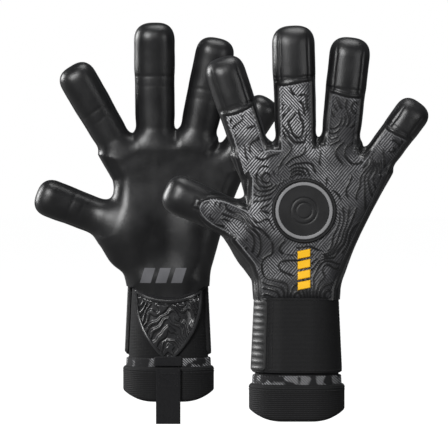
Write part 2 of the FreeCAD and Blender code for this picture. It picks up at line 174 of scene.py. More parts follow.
# %% One finger's measures
def node_points(node):
    """The corners of a CAD node, in millimetres."""
    mesh = frame["nodes"][node].data
    points = np.empty(len(mesh.vertices) * 3)
    mesh.vertices.foreach_get("co", points)
    return points.reshape(-1, 3) * MM


class Finger:
    """Where a finger starts, where it points, and its sizes, in the glove's plane."""

    def __init__(self, glove, name):
        knuckle = np.array(JOINTS[f"{glove.side}_{name}_knuckle"]["pos_m"]) * MM
        bend = np.array(JOINTS[f"{glove.side}_{name}_bend"]["pos_m"]) * MM
        self.name = name
        self.x, self.z = knuckle[0] - glove.x, knuckle[2]
        self.shaft = float(np.linalg.norm(bend - knuckle))
        self.dx, self.dz = (bend[0] - knuckle[0]) / self.shaft, (bend[2] - knuckle[2]) / self.shaft
        channel = node_points(f"{glove.side}_{name}_latex")
        cap = node_points(f"{glove.side}_{name}_cap")
        across = (channel[:, 0] - knuckle[0]) * self.dz - (channel[:, 2] - knuckle[2]) * self.dx
        self.width = float(across.max() - across.min())
        along = (cap[:, 0] - knuckle[0]) * self.dx + (cap[:, 2] - knuckle[2]) * self.dz
        self.length = float(along.max())
        self.depth = float(cap[:, 1].max() - cap[:, 1].min())
        self.split = 0.5 * self.shaft + 0.5

    def measures(self, points):
        """Distances along the finger and across it."""
        x, z = points[:, 0] - self.x, points[:, 2] - self.z
        return x * self.dx + z * self.dz, x * self.dz - z * self.dx


class Glove:
    """The places that one glove's pieces share, in millimetres."""

    def __init__(self, side):
        self.side = side
        mount = next(m for m in frame["record"]["mounts"] if m["name"] == side + "_wrist_opening")
        self.x, self.y = mount["pos_m"][0] * MM, mount["pos_m"][1] * MM
        latex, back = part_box(side + "_palm_latex"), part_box(side + "_back_panel")
        self.palm = 1 if latex[0][1] > back[0][1] else -1
        self.fingers = {name: Finger(self, name) for name in FINGERS}
        self.wrist_top = back[0][2] * MM

    def world(self, points):
        """Points of the glove's plane, in metres in the row frame."""
        out = np.array(points, float)
        out[:, 0] += self.x
        out[:, 1] = self.y + self.palm * out[:, 1]
        return out / MM


gloves = [Glove(side) for side in GLOVES]
for glove in gloves:
    for finger in glove.fingers.values():
        print(glove.side, finger.name, "width", round(finger.width, 1), "length", round(finger.length, 1))

# %% [markdown]
# ## The glove as a distance field
# A glove on a hand has no flat faces and its fingers melt into the palm. Box modelling that by hand
# in code is long. A distance field is short: each finger is a rounded bar, the hand is a rounded
# slab, and a smooth minimum melts them together like clay. The surface is where the field is zero.


# %% Smooth minimum, and one finger
def smooth_min(a, b, melt):
    share = np.clip(0.5 + 0.5 * (b - a) / melt, 0, 1)
    return b + (a - b) * share - melt * share * (1 - share)


def smooth_step(low, high, value):
    t = np.clip((value - low) / (high - low), 0, 1)
    return t * t * (3 - 2 * t)


SECTION_POWER = 2.3
TIP_POWER = 2.7


def finger_field(points, finger):
    """Distance to a padded finger: slimmer at the web, full at the cap, curled a little to the palm."""
    along, across = finger.measures(points)
    radius = finger.width / 2
    slim = 0.90 + 0.07 * smooth_step(0, 16, along)
    slim = slim + 0.03 * smooth_step(finger.shaft - 6, finger.shaft + 10, along)
    curl = 2.6 * np.clip(along / finger.length, 0, 1.2) ** 2
    root = 0.70 + 0.30 * smooth_step(-15, 3, along)
    deep = (points[:, 1] - curl) * (finger.width * slim / (finger.depth * root))
    past = along - np.clip(along, -16, finger.length - radius)
    flat = (np.abs(across) ** TIP_POWER + np.abs(past) ** TIP_POWER) ** (1 / TIP_POWER)
    return (flat**SECTION_POWER + np.abs(deep) ** SECTION_POWER) ** (1 / SECTION_POWER) - radius * slim


# %% The hand slab
def mouth_corner(finger, side, inset=0.0):
    reach = side * (finger.width / 2 - inset)
    return (finger.x + reach * finger.dz, finger.z - reach * finger.dx)


def hand_outline(glove):
    """The hand's edge in its plane, from the wrist up the thumb side and down the other."""
    f = glove.fingers
    low = glove.wrist_top
    thumb_low, crotch = mouth_corner(f["thumb"], -1), mouth_corner(f["thumb"], 1)
    points = [(-28.5, low - 6), (-29.5, low + 10), (-33, low + 20), (thumb_low[0] + 1, thumb_low[1] - 2)]
    points += [thumb_low, crotch, (crotch[0] + 0.5, crotch[1] + 17), mouth_corner(f["index"], -1)]
    points += [mouth_corner(f["index"], 1)]
    for name in ("middle", "ring"):
        points += [mouth_corner(f[name], -1), mouth_corner(f[name], 1)]
    points += [mouth_corner(f["little"], -1), mouth_corner(f["little"], 1)]
    top, heel = points[-1], (28.5, low)
    for share, bulge in ((0.25, -0.5), (0.5, -2.0), (0.75, -2.5)):
        points.append((top[0] + (heel[0] - top[0]) * share + bulge, top[1] + (heel[1] - top[1]) * share))
    points += [(heel[0] - 0.5, low + 4), (heel[0] - 1, low - 6)]
    return np.array(points)


def outline_field(points, outline):
    """Signed distance in the plane to a closed outline, negative inside."""
    x, z = points[:, 0], points[:, 2]
    best = np.full(len(points), 1e9)
    inside = np.zeros(len(points), bool)
    for (ax, az), (bx, bz) in zip(outline, np.roll(outline, -1, axis=0)):
        ex, ez = bx - ax, bz - az
        t = np.clip(((x - ax) * ex + (z - az) * ez) / (ex * ex + ez * ez), 0, 1)
        best = np.minimum(best, (x - ax - t * ex) ** 2 + (z - az - t * ez) ** 2)
        crosses = (az > z) != (bz > z)
        inside ^= crosses & (x < ex * (z - az) / (ez if ez else 1e-9) + ax)
    return np.where(inside, -1, 1) * np.sqrt(best)


HAND_ROUND = 12.0
HAND_HALF = 16.5
CORE = 9.5
SKIN_RADIUS = 18.4


def mound_field(points, centre, radii):
    scaled = (points - centre) / radii
    length = np.sqrt((scaled**2).sum(1))
    return (length - 1) * min(radii)


def hand_field(points, glove):
    """The palm and back of the hand, its mounds and its neck at the wrist."""
    edge = outline_field(points, glove.outline)
    half = HAND_HALF - 2.4 * smooth_step(glove.wrist_top + 40, glove.wrist_top + 98, points[:, 2])
    q1, q2 = edge + HAND_ROUND, np.abs(points[:, 1]) - (half - HAND_ROUND)
    slab = np.minimum(np.maximum(q1, q2), 0) + np.hypot(np.maximum(q1, 0), np.maximum(q2, 0)) - HAND_ROUND
    thumb = glove.fingers["thumb"]
    heel = glove.wrist_top
    slab = smooth_min(slab, mound_field(points, (thumb.x + 17, 8, thumb.z - 12), (21, 12, 26)), 9)
    slab = smooth_min(slab, mound_field(points, (19, 7, heel + 34), (14, 11, 28)), 9)
    radius = SKIN_RADIUS - 9.0 * smooth_step(heel, heel + 28, points[:, 2])
    sideways = np.hypot(np.maximum(np.abs(points[:, 0]) - CORE, 0), points[:, 1]) - radius
    neck = np.maximum(sideways, np.maximum(points[:, 2] - heel - 30, 60 - points[:, 2]))
    return smooth_min(slab, neck, 9)


def glove_field(points, glove):
    fingers = None
    for name in FINGERS:
        one = finger_field(points, glove.fingers[name])
        fingers = one if fingers is None else smooth_min(fingers, one, 1.6)
    return smooth_min(fingers, hand_field(points, glove), 9)


for glove in gloves:
    glove.outline = hand_outline(glove)

# %% [markdown]
# ## From field to mesh
# Surface nets turn the field into a mesh: one point in each grid cell that the surface passes
# through, and one face across each grid edge that it crosses. A few Newton steps then slide the
# points onto the exact surface, and the field's slope gives true normals. The mesh is closed and
# even, which boolean joins of tubes would not be.


# %% Surface nets
def surface_nets(field, low, step):
    """Points and triangles of the zero surface of a grid of distances."""
    inside = field < 0
    cells = tuple(n - 1 for n in field.shape)
    total, count = np.zeros(cells + (3,)), np.zeros(cells)
    steps = [(a, b, c) for a in (0, 1) for b in (0, 1) for c in (0, 1)]
    for corner in steps:
        for axis in range(3):
            if corner[axis]:
                continue
            other = list(corner)
            other[axis] = 1
            here = tuple(slice(o, o + n) for o, n in zip(corner, cells))
            there = tuple(slice(o, o + n) for o, n in zip(other, cells))
            crossed = inside[here] != inside[there]
            a, b = field[here][crossed], field[there][crossed]
            place = np.tile(np.array(corner, float), (len(a), 1))
            place[:, axis] += a / (a - b)
            total[crossed] += place
            count[crossed] += 1
    active = count > 0
    number = np.full(cells, -1)
    number[active] = np.arange(active.sum())
    points = low + step * (np.argwhere(active) + total[active] / count[active][:, None])
    faces = []
    for axis in range(3):
        first, second = (axis + 1) % 3, (axis + 2) % 3
        near, far = [slice(None)] * 3, [slice(None)] * 3
        near[axis], far[axis] = slice(0, -1), slice(1, None)
        change = inside[tuple(near)] != inside[tuple(far)]
        spots = np.argwhere(change)
        spots = spots[(spots[:, first] > 0) & (spots[:, second] > 0)]
        spots = spots[(spots[:, first] < cells[first]) & (spots[:, second] < cells[second])]
        quad = []
        for back_first, back_second in ((1, 1), (0, 1), (0, 0), (1, 0)):
            cell = spots.copy()
            cell[:, first] -= back_first
            cell[:, second] -= back_second
            quad.append(number[cell[:, 0], cell[:, 1], cell[:, 2]])
        quad = np.stack(quad, 1)
        outward = inside[spots[:, 0], spots[:, 1], spots[:, 2]]
        quad[~outward] = quad[~outward][:, ::-1]
        faces.append(quad)
    quads = np.concatenate(faces)
    return points, np.concatenate([quads[:, [0, 1, 2]], quads[:, [0, 2, 3]]])


def slope(points, field):
    """The field's gradient by central differences."""
    small = 0.05
    out = np.empty_like(points)
    for axis in range(3):
        shift = np.zeros(3)
        shift[axis] = small
        out[:, axis] = (field(points + shift) - field(points - shift)) / (2 * small)
    return out


def skin_mesh(glove, step):
    """The glove's outer surface as points and triangles."""
    low = np.array([-103.0, -27.0, 76.0])
    high = np.array([103.0, 29.0, 286.0])
    axes = [np.arange(a, b, step) for a, b in zip(low, high)]
    shape = tuple(len(a) for a in axes)
    field = np.empty(shape)
    sheet = np.stack(np.meshgrid(axes[0], axes[1], indexing="ij"), -1).reshape(-1, 2)
    for k, height in enumerate(axes[2]):
        layer = np.column_stack([sheet, np.full(len(sheet), height)])
        field[:, :, k] = glove_field(layer, glove).reshape(shape[:2])
    points, triangles = surface_nets(field, low, step)
    for _ in range(3):
        value = glove_field(points, glove)
        direction = slope(points, lambda p: glove_field(p, glove))
        points = points - direction * (value / np.maximum((direction**2).sum(1), 0.2))[:, None]
    return points, triangles


# %% Cutting a mesh along a line, and splitting its triangles
def cut(points, triangles, values):
    """Split the triangles that the zero line of values crosses. Returns points and triangles."""
    values = np.where(np.abs(values) < 1e-3, 1e-3, values)
    positive = values > 0
    pattern = positive[triangles]
    mixed = pattern.any(1) & ~pattern.all(1)
    whole, split = triangles[~mixed], triangles[mixed]
    flags = positive[split]
    lone = np.where(flags.sum(1) == 1, flags.argmax(1), (~flags).argmax(1))
    rows = np.arange(len(split))
    a, b, c = split[rows, lone], split[rows, (lone + 1) % 3], split[rows, (lone + 2) % 3]
    size = len(points)
    keys = np.concatenate([np.minimum(a, other) * size + np.maximum(a, other) for other in (b, c)])
    unique, back = np.unique(keys, return_inverse=True)
    i, j = unique // size, unique % size
    t = (values[i] / (values[i] - values[j]))[:, None]
    points = np.concatenate([points, points[i] * (1 - t) + points[j] * t])
    ab, ac = size + back[: len(split)], size + back[len(split) :]
    pieces = [whole, np.stack([a, ab, ac], 1), np.stack([ab, b, c], 1), np.stack([ab, c, ac], 1)]
    return points, np.concatenate(pieces)


def subdivide(points, triangles):
    """Each triangle in four, through the middles of its sides."""
    edges = np.sort(triangles[:, [0, 1, 1, 2, 2, 0]].reshape(-1, 2), axis=1)
    keys, back = np.unique(edges[:, 0] * len(points) + edges[:, 1], return_inverse=True)
    middles = (points[keys // len(points)] + points[keys % len(points)]) / 2
    m = (back + len(points)).reshape(-1, 3)
    a, b, c = triangles.T
    ab, bc, ca = m.T
    out = [(a, ab, ca), (ab, b, bc), (ca, bc, c), (ab, bc, ca)]
    return np.concatenate([points, middles]), np.concatenate([np.stack(t, 1) for t in out])


def point_normals(points, triangles):
    a, b, c = (points[triangles[:, k]] for k in range(3))
    face = np.cross(b - a, c - a)
    normals = np.zeros_like(points)
    for k in range(3):
        for axis in range(3):
            normals[:, axis] += np.bincount(triangles[:, k], face[:, axis], len(points))
    return normals / np.maximum(np.linalg.norm(normals, axis=1), 1e-12)[:, None]


def compact(points, triangles, *others):
    """Only the points that the triangles use."""
    used, back = np.unique(triangles, return_inverse=True)
    return (points[used], back.reshape(-1, 3)) + tuple(o[used] for o in others)


# %% A Blender mesh from arrays
def add_piece(name, points, faces, material, normals=None, attributes=None):
    """A smooth piece from points in metres and equal-sided faces."""
    faces = np.asarray(faces)
    mesh = bpy.data.meshes.new(name)
    sides = faces.shape[1]
    mesh.vertices.add(len(points))
    mesh.vertices.foreach_set("co", np.asarray(points, np.float32).ravel())
    mesh.loops.add(faces.size)
    mesh.loops.foreach_set("vertex_index", faces.astype(np.int32).ravel())
    mesh.polygons.add(len(faces))
    mesh.polygons.foreach_set("loop_start", np.arange(0, faces.size, sides, dtype=np.int32))
    mesh.update(calc_edges=True)
    mesh.validate()
    mesh.polygons.foreach_set("use_smooth", np.ones(len(mesh.polygons), bool))
    for key, values in (attributes or {}).items():
        layer = mesh.attributes.new(key, "FLOAT", "POINT")
        layer.data.foreach_set("value", np.asarray(values, np.float32))
    if normals is not None:
        mesh.normals_split_custom_set_from_vertices(normals)
    mesh.materials.append(material)
    piece = bpy.data.objects.new(name, mesh)
    bpy.context.collection.objects.link(piece)
    return piece


# %% Smooth noise with a fixed seed
def noise(points, size, seed):
    """Value noise from -1 to 1 that changes over about size millimetres."""
    table = np.random.default_rng(seed).uniform(-1, 1, (64, 64, 64))
    grid = points / size + 1000
    cell = np.floor(grid).astype(int)
    part = grid - cell
    part = part * part * (3 - 2 * part)
    out = np.zeros(len(points))
    for a in (0, 1):
        for b in (0, 1):
            for c in (0, 1):
                weight = np.abs(1 - a - part[:, 0]) * np.abs(1 - b - part[:, 1]) * np.abs(1 - c - part[:, 2])
                spot = (cell + (a, b, c)) % 64
                out += weight * table[spot[:, 0], spot[:, 1], spot[:, 2]]
    return out


# %% [markdown]
# ## Materials
# Four families cover the gloves: latex foam, which is black with a broad soft sheen and a very fine
# pore; the back's textile, grey with a fine slanting weave and raised black rubber strokes; elastic
# knits at the wrist; and small moulded rubber parts. Patterns read Object coordinates, which are the
# row frame in metres, or an attribute that the mesh code stored.


# %% Material helpers
def new_material(name, color, roughness, specular=0.4, sheen=0.0):
    material = bpy.data.materials.new(name)
    material.use_nodes = True
    shader = material.node_tree.nodes["Principled BSDF"]
    shader.inputs["Base Color"].default_value = (*color, 1)
    shader.inputs["Roughness"].default_value = roughness
    shader.inputs["Specular IOR Level"].default_value = specular
    shader.inputs["Sheen Weight"].default_value = sheen
    shader.inputs["Sheen Roughness"].default_value = 0.4
    return material, material.node_tree, shader


def node(tree, kind, **values):
    made = tree.nodes.new(kind)
    for key, value in values.items():
        if isinstance(value, bpy.types.NodeSocket):
            tree.links.new(value, made.inputs[key.replace("_", " ")])
        elif key.startswith("set_"):
            setattr(made, key[4:], value)
        else:
            made.inputs[key.replace("_", " ")].default_value = value
    return made


def object_space(tree, turn=(0, 0, 0), scale=(1, 1, 1)):
    place = node(tree, "ShaderNodeTexCoord").outputs["Object"]
    return node(tree, "ShaderNodeMapping", Vector=place, Rotation=turn, Scale=scale).outputs[0]


def ramp(tree, value, low, high, to_low=0.0, to_high=1.0):
    made = node(tree, "ShaderNodeMapRange", Value=value)
    for key, number in (("From Min", low), ("From Max", high), ("To Min", to_low), ("To Max", to_high)):
        made.inputs[key].default_value = number
    return made.outputs[0]


def math_node(tree, operation, a, b=None):
    made = tree.nodes.new("ShaderNodeMath")
    made.operation = operation
    for socket, value in zip(made.inputs, (a, b)):
        if isinstance(value, bpy.types.NodeSocket):
            tree.links.new(value, socket)
        elif value is not None:
            socket.default_value = value
    return made.outputs[0]


def mix_color(tree, factor, a, b):
    made = tree.nodes.new("ShaderNodeMix")
    made.data_type = "RGBA"
    for socket, value in ((made.inputs[0], factor), (made.inputs[6], a), (made.inputs[7], b)):
        if isinstance(value, bpy.types.NodeSocket):
            tree.links.new(value, socket)
        else:
            socket.default_value = (*value, 1) if isinstance(value, tuple) else value
    return made.outputs[2]


def bump(tree, shader, height, distance, strength=1.0):
    made = node(tree, "ShaderNodeBump", Height=height, Distance=distance, Strength=strength)
    tree.links.new(made.outputs[0], shader.inputs["Normal"])


# %% Latex foam
def latex_material():
    """Smooth black foam: fine pores, faint handling marks, a broad soft sheen."""
    material, tree, shader = new_material("latex_foam", (0.007, 0.007, 0.0075), 0.34, 0.5)
    space = object_space(tree)
    pores = node(tree, "ShaderNodeTexNoise", Vector=space, Scale=2600, Detail=2).outputs["Fac"]
    marks = node(tree, "ShaderNodeTexNoise", Vector=space, Scale=60, Detail=4).outputs["Fac"]
    color = mix_color(tree, ramp(tree, marks, 0.35, 0.7), (0.0055, 0.0055, 0.006), (0.0105, 0.0105, 0.0112))
    tree.links.new(color, shader.inputs["Base Color"])
    tree.links.new(ramp(tree, marks, 0.3, 0.7, 0.30, 0.40), shader.inputs["Roughness"])
    bump(tree, shader, pores, 0.00012, 0.5)
    return material


# %% Back textile
def textile_material():
    """Grey cloth with a slanting two-way weave, painted lighter on the knuckles and the thumb side as painted
    light; the stored strokes are raised black rubber.
    """
    material, tree, shader = new_material("back_textile", (0.06, 0.06, 0.065), 0.55, 0.35, 0.1)
    stroke = node(tree, "ShaderNodeAttribute", set_attribute_name="stroke").outputs["Fac"]
    # Painted light, stored per point: lighter on the knuckles and the thumb side, and in random patches.
    painted_light_patches = node(tree, "ShaderNodeAttribute", set_attribute_name="painted_light_patches").outputs["Fac"]
    waves = []
    for turn, scale in ((0.75, 620), (-0.7, 570)):
        space = object_space(tree, (0, turn, 0))
        wave = node(
            tree, "ShaderNodeTexWave", set_bands_direction="X", Vector=space, Scale=scale / math.pi, Distortion=1.4
        )
        wave.inputs["Detail"].default_value = 1
        wave.inputs["Detail Scale"].default_value = 1.2
        waves.append(wave.outputs["Fac"])
    space = object_space(tree)
    patch = node(tree, "ShaderNodeTexNoise", Vector=space, Scale=75, Detail=1).outputs["Fac"]
    which = ramp(tree, patch, 0.44, 0.56)
    first = math_node(tree, "MULTIPLY", waves[0], math_node(tree, "SUBTRACT", 1.0, which))
    second = math_node(tree, "MULTIPLY", waves[1], which)
    thread = math_node(tree, "ADD", first, second)
    grain = node(tree, "ShaderNodeTexNoise", Vector=space, Scale=900, Detail=2).outputs["Fac"]
    # Painted highlight: the weave's threads turn pale where that painted light is strong.
    painted_shine = ramp(tree, painted_light_patches, 0.02, 0.6)
    light = math_node(tree, "MULTIPLY", ramp(tree, thread, 0.45, 0.95), painted_shine)
    light = math_node(tree, "MULTIPLY", light, ramp(tree, grain, 0.3, 0.65, 0.5, 1.1))
    # Painted light: the cloth between the threads is painted lighter there too.
    cloth = mix_color(tree, painted_light_patches, (0.018, 0.018, 0.020), (0.030, 0.030, 0.033))
    cloth = mix_color(tree, light, cloth, (0.62, 0.62, 0.64))
    color = mix_color(tree, stroke, cloth, (0.005, 0.005, 0.0055))
    # A pale thread at the panel's edge, painted clearer on the thumb side, where the light falls.
    thread_line = node(tree, "ShaderNodeAttribute", set_attribute_name="thread").outputs["Fac"]
    color = mix_color(tree, thread_line, color, (0.3, 0.3, 0.31))
    tree.links.new(color, shader.inputs["Base Color"])
    tree.links.new(ramp(tree, stroke, 0, 1, 0.6, 0.36), shader.inputs["Roughness"])
    bare = math_node(tree, "SUBTRACT", 1.0, stroke)
    bump(tree, shader, math_node(tree, "MULTIPLY", thread, bare), 0.00025, 0.6)
    return material


# %% Knits, webbing and moulded rubber
def knit_material(name, color, rows, roughness=0.75, depth=0.0003, light=1.8):
    """An elastic knit: fine rows one way, fainter ones across, and a little fuzz."""
    material, tree, shader = new_material(name, color, roughness, 0.18, 0.02)
    space = object_space(tree)
    row = node(
        tree, "ShaderNodeTexWave", set_bands_direction="Z", Vector=space, Scale=rows / math.pi, Distortion=0.6
    )
    row.inputs["Detail Scale"].default_value = 3
    across = node(tree, "ShaderNodeTexWave", set_bands_direction="X", Vector=space, Scale=rows / 5, Distortion=0.8)
    fuzz = node(tree, "ShaderNodeTexNoise", Vector=space, Scale=500, Detail=3).outputs["Fac"]
    height = math_node(tree, "MULTIPLY", row.outputs["Fac"], ramp(tree, across.outputs["Fac"], 0, 1, 0.6, 1.0))
    brighter = tuple(c * light for c in color)
    shade = math_node(tree, "MULTIPLY", height, ramp(tree, fuzz, 0.3, 0.7, 0.3, 1.0))
    tree.links.new(mix_color(tree, shade, color, brighter), shader.inputs["Base Color"])
    bump(tree, shader, height, depth, 0.7)
    return material


def rubber_material(name, color, roughness, specular=0.5, mottle=1.35):
    """Moulded rubber: even colour with a faint mottle and a fine satin grain."""
    material, tree, shader = new_material(name, color, roughness, specular)
    space = object_space(tree)
    cloud = node(tree, "ShaderNodeTexNoise", Vector=space, Scale=90, Detail=4).outputs["Fac"]
    grain = node(tree, "ShaderNodeTexNoise", Vector=space, Scale=1800, Detail=1).outputs["Fac"]
    lighter = tuple(min(1, c * mottle) for c in color)
    tree.links.new(mix_color(tree, ramp(tree, cloud, 0.35, 0.7), color, lighter), shader.inputs["Base Color"])
    tree.links.new(ramp(tree, cloud, 0.3, 0.7, roughness - 0.05, roughness + 0.07), shader.inputs["Roughness"])
    bump(tree, shader, grain, 0.0001, 0.4)
    return material


def band_material():
    """The knitted band above the hem: black with a grey jacquard speckle."""
    material, tree, shader = new_material("jacquard_band", (0.02, 0.02, 0.02), 0.7, 0.2, 0.02)
    twist = object_space(tree, (0, 0.8, 0))
    lines = node(tree, "ShaderNodeTexWave", set_bands_direction="X", Vector=twist, Scale=230, Distortion=1.5)
    lines = lines.outputs["Fac"]
    patch_noise = node(tree, "ShaderNodeTexNoise", Vector=object_space(tree), Scale=130, Detail=1).outputs["Fac"]
    lit = math_node(tree, "MULTIPLY", ramp(tree, lines, 0.3, 0.8), ramp(tree, patch_noise, 0.45, 0.55))
    tree.links.new(mix_color(tree, lit, (0.012, 0.012, 0.013), (0.3, 0.3, 0.31)), shader.inputs["Base Color"])
    bump(tree, shader, lines, 0.0003, 0.6)
    return material


LATEX = latex_material()
TEXTILE = textile_material()
BANDAGE = knit_material("bandage_knit", (0.009, 0.009, 0.0095), 900)
HEM = knit_material("hem_knit", (0.009, 0.009, 0.0095), 700)
BAND = band_material()
LINER = knit_material("liner_knit", (0.02, 0.02, 0.021), 600)
STRAP = knit_material("strap_fabric", (0.0075, 0.0075, 0.008), 1100, 0.6, depth=0.00015)
WEBBING = knit_material("webbing", (0.010, 0.010, 0.011), 1500, 0.7, depth=0.0003)
LOOP = knit_material("loop_pile", (0.012, 0.012, 0.012), 1900, 0.9, depth=0.0005)
INSERT = rubber_material("gloss_rubber", (0.016, 0.016, 0.017), 0.24, 0.7)
TAB = rubber_material("tab_rubber", (0.012, 0.012, 0.0125), 0.45)
BADGE = rubber_material("badge_rubber", (0.007, 0.007, 0.0075), 0.5, 0.35)
BADGE_RING = rubber_material("badge_ring", (0.22, 0.22, 0.225), 0.5, 0.4, 1.15)
YELLOW = rubber_material("yellow_rubber", (0.92, 0.5, 0.008), 0.42, 0.4, 1.06)
PRINT = rubber_material("grey_print", (0.11, 0.11, 0.118), 0.6, 0.3, 1.3)
THREAD = knit_material("thread", (0.022, 0.022, 0.023), 3000, 0.8)
print("materials", len(bpy.data.materials))

# %% [markdown]
# ## Panels, seams and relief
# The back's textile is one panel that runs up each finger between two rolls of latex. A field tells
# how far a point is inside that panel; where it is zero the mesh is cut, so that the panel's edge is
# crisp. The same field sinks a seam groove along the edge. On the palm side, a faint crease lies
# where the finger's cap begins, and a seam runs along the finger's side.


# %% Panel field
ROLL = 4.4


def textile_field(points, glove):
    """Millimetres inside the back's textile panel, negative outside."""
    heel = glove.wrist_top
    hand = -outline_field(points, glove.outline) - 3.6
    best = hand
    for name, finger in glove.fingers.items():
        along, across = finger.measures(points)
        half = finger.width / 2 - ROLL
        end = finger.shaft - 1.0 + 1.4 * np.sin(across / 7 + len(name))
        if name == "thumb":
            end = finger.shaft + 1
            close = np.clip((along - end + 20) / 20, 0, 1)
            half = half * np.sqrt(np.maximum(1 - close**2, 0)) + 0.1
        strip = np.minimum(half - np.abs(across), end - along)
        best = np.maximum(best, np.where(along > -14, strip, -50))
    return np.minimum(np.minimum(best, -points[:, 1] - 1), points[:, 2] - heel + 30)


# %% Relief of the skin
def groove(value, width):
    return np.exp(-((value / width) ** 2))


def relief(points, glove):
    """How far the skin rises or sinks, in millimetres: seams, creases and soft unevenness."""
    panel = textile_field(points, glove)
    dorsal = smooth_step(2, -2, points[:, 1])
    rise = -0.75 * groove(panel, 0.75) + 0.35 * groove(panel + 2.0, 0.9) * dorsal
    rise -= 0.55 * groove(panel + 3.7, 0.6) * dorsal
    rise += 0.25 * smooth_step(0.5, 2.5, panel)
    for name, finger in glove.fingers.items():
        along, across = finger.measures(points)
        near = (np.abs(across) < finger.width / 2 + 2) & (along > 2) & (along < finger.length + 2)
        side = groove(points[:, 1] - 6.5, 0.55) * smooth_step(0.25, 0.45, np.abs(across) / finger.width)
        rise -= np.where(near, 0.5 * side * smooth_step(2, 8, along), 0)
        palmar = smooth_step(0, 5, points[:, 1])
        wobble = 1.5 * noise(points, 9, 5)
        on = (np.abs(across) < finger.width / 2 + 2) & (along > -14)
        for place, deep in ((finger.shaft + 0.5, 0.2), (finger.shaft - 7, 0.08)):
            rise -= np.where(on, deep * palmar * groove(along - place + wobble, 1.3), 0)
        top = np.where(on & (points[:, 1] < 0), groove(along - finger.shaft - 3.5, 0.6), 0)
        if name != "thumb":
            rise -= 0.4 * top
            cap = smooth_step(finger.shaft, finger.shaft + 3, along)
            cap = cap * smooth_step(finger.length - 4, finger.length - 12, along)
            sides = groove(np.abs(across) - finger.width / 2 + ROLL + 0.6, 0.6)
            rise -= 0.55 * np.where(on & (points[:, 1] < 0), cap * sides, 0)
    rise += 0.24 * noise(points, 19, 1) + 0.08 * noise(points, 7, 2)
    return rise


# %% Raised strokes of the back
STROKE_PITCH = 4.0


def ripple(flat):
    """A height map whose level lines the strokes follow."""
    x, z = flat[:, 0] - BADGE_PLACE[0], flat[:, 2] - BADGE_PLACE[1]
    return 0.45 * np.hypot(x, z * 0.8) + 14 * noise(flat, 21, 11) + 3.5 * noise(flat, 10, 12)


def stroke_field(points, glove):
    """From 0 to 1 where the raised strokes are: short level lines, all of one breadth."""
    flat = np.column_stack([points[:, 0], np.zeros(len(points)), points[:, 2]])
    level = ripple(flat)
    step = 0.4
    ways = np.array([(1, 0, 0), (0, 0, 1)])
    steep = np.hypot(*[(ripple(flat + way * step) - level) / step for way in ways])
    phase = level / STROKE_PITCH
    gap = np.abs(phase - np.round(phase)) * STROKE_PITCH / np.maximum(steep, 0.15)
    body = noise(flat + 40, 8, 13) + 0.3 * noise(flat, 4, 14)
    half = 0.86 * smooth_step(-0.6, -0.25, body) * smooth_step(0.15, 0.35, steep)
    panel = textile_field(points, glove)
    badge = np.hypot(points[:, 0] - BADGE_PLACE[0], points[:, 2] - BADGE_PLACE[1])
    half = half * smooth_step(0.8, 2.2, panel) * smooth_step(23.5, 25.5, badge)
    return smooth_step(0.30, -0.25, gap - half) * (half > 0.15)


def painted_light_in_patches(points):
    """Painted light on the weave: lighter on the knuckles and the thumb side, where the lamp falls, less towards
    the little finger, and stronger in random patches.
    """
    flat = np.column_stack([points[:, 0], np.zeros(len(points)), points[:, 2]])
    across = smooth_step(48, -40, points[:, 0])
    up = smooth_step(110, 200, points[:, 2])
    patch = smooth_step(-0.5, 0.5, noise(flat, 15, 21) + 0.4 * noise(flat, 7, 22))
    return np.clip((0.06 + 0.66 * across * (0.25 + 0.75 * up) + 0.1 * up) * (0.2 + 1.1 * patch), 0, 1)


def outline_thread(points, glove):
    """A pale thread just inside the panel's edge; it is painted clearer along the thumb and the index finger,
    where the light falls.
    """
    panel = textile_field(points, glove)
    thread = smooth_step(0.25, 0.5, panel) * smooth_step(1.15, 0.85, panel)
    # Painted light: the thread is clearer towards the thumb side and fainter towards the little finger.
    painted_lit_side = 0.25 + 0.6 * smooth_step(10, -25, points[:, 0])
    return thread * painted_lit_side * smooth_step(100, 118, points[:, 2])


medallion_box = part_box("right_medallion")
BADGE_PLACE = (
    (medallion_box[0][0] + medallion_box[1][0]) / 2 * MM,
    (medallion_box[0][2] + medallion_box[1][2]) / 2 * MM,
)
print("badge centre", BADGE_PLACE)

# %% [markdown]
# ## Building and splitting the skin
# The whole skin is one mesh first, so that its normals run on over every later cut. It is cut at the
# textile's edge, at each finger's mouth and half way up each finger. The hand's pieces go on the root
# body; the fingers' pieces stay where they are made.


# %% Regions
FLEX_START = 3.0
HEEL_DIP = 9.0


def beyond(points, glove, start):
    """Positive past a place along any finger; start gives that place for a finger."""
    best = np.full(len(points), -50.0)
    for finger in glove.fingers.values():
        along, across = finger.measures(points)
        best = np.maximum(best, np.minimum(along - start(finger), finger.width / 2 + 4 - np.abs(across)))
    return best


def nearest_finger(points, glove):
    return np.argmin([finger_field(points, glove.fingers[name]) for name in FINGERS], axis=0)


def heel_edge(glove, points):
    """Height of the latex's lower edge: level on the back, and a low curve on the palm side."""
    return glove.wrist_top - 3.5 - HEEL_DIP * np.clip(1 - (points[:, 0] / 26) ** 2, 0, 1) * (points[:, 1] > 0)


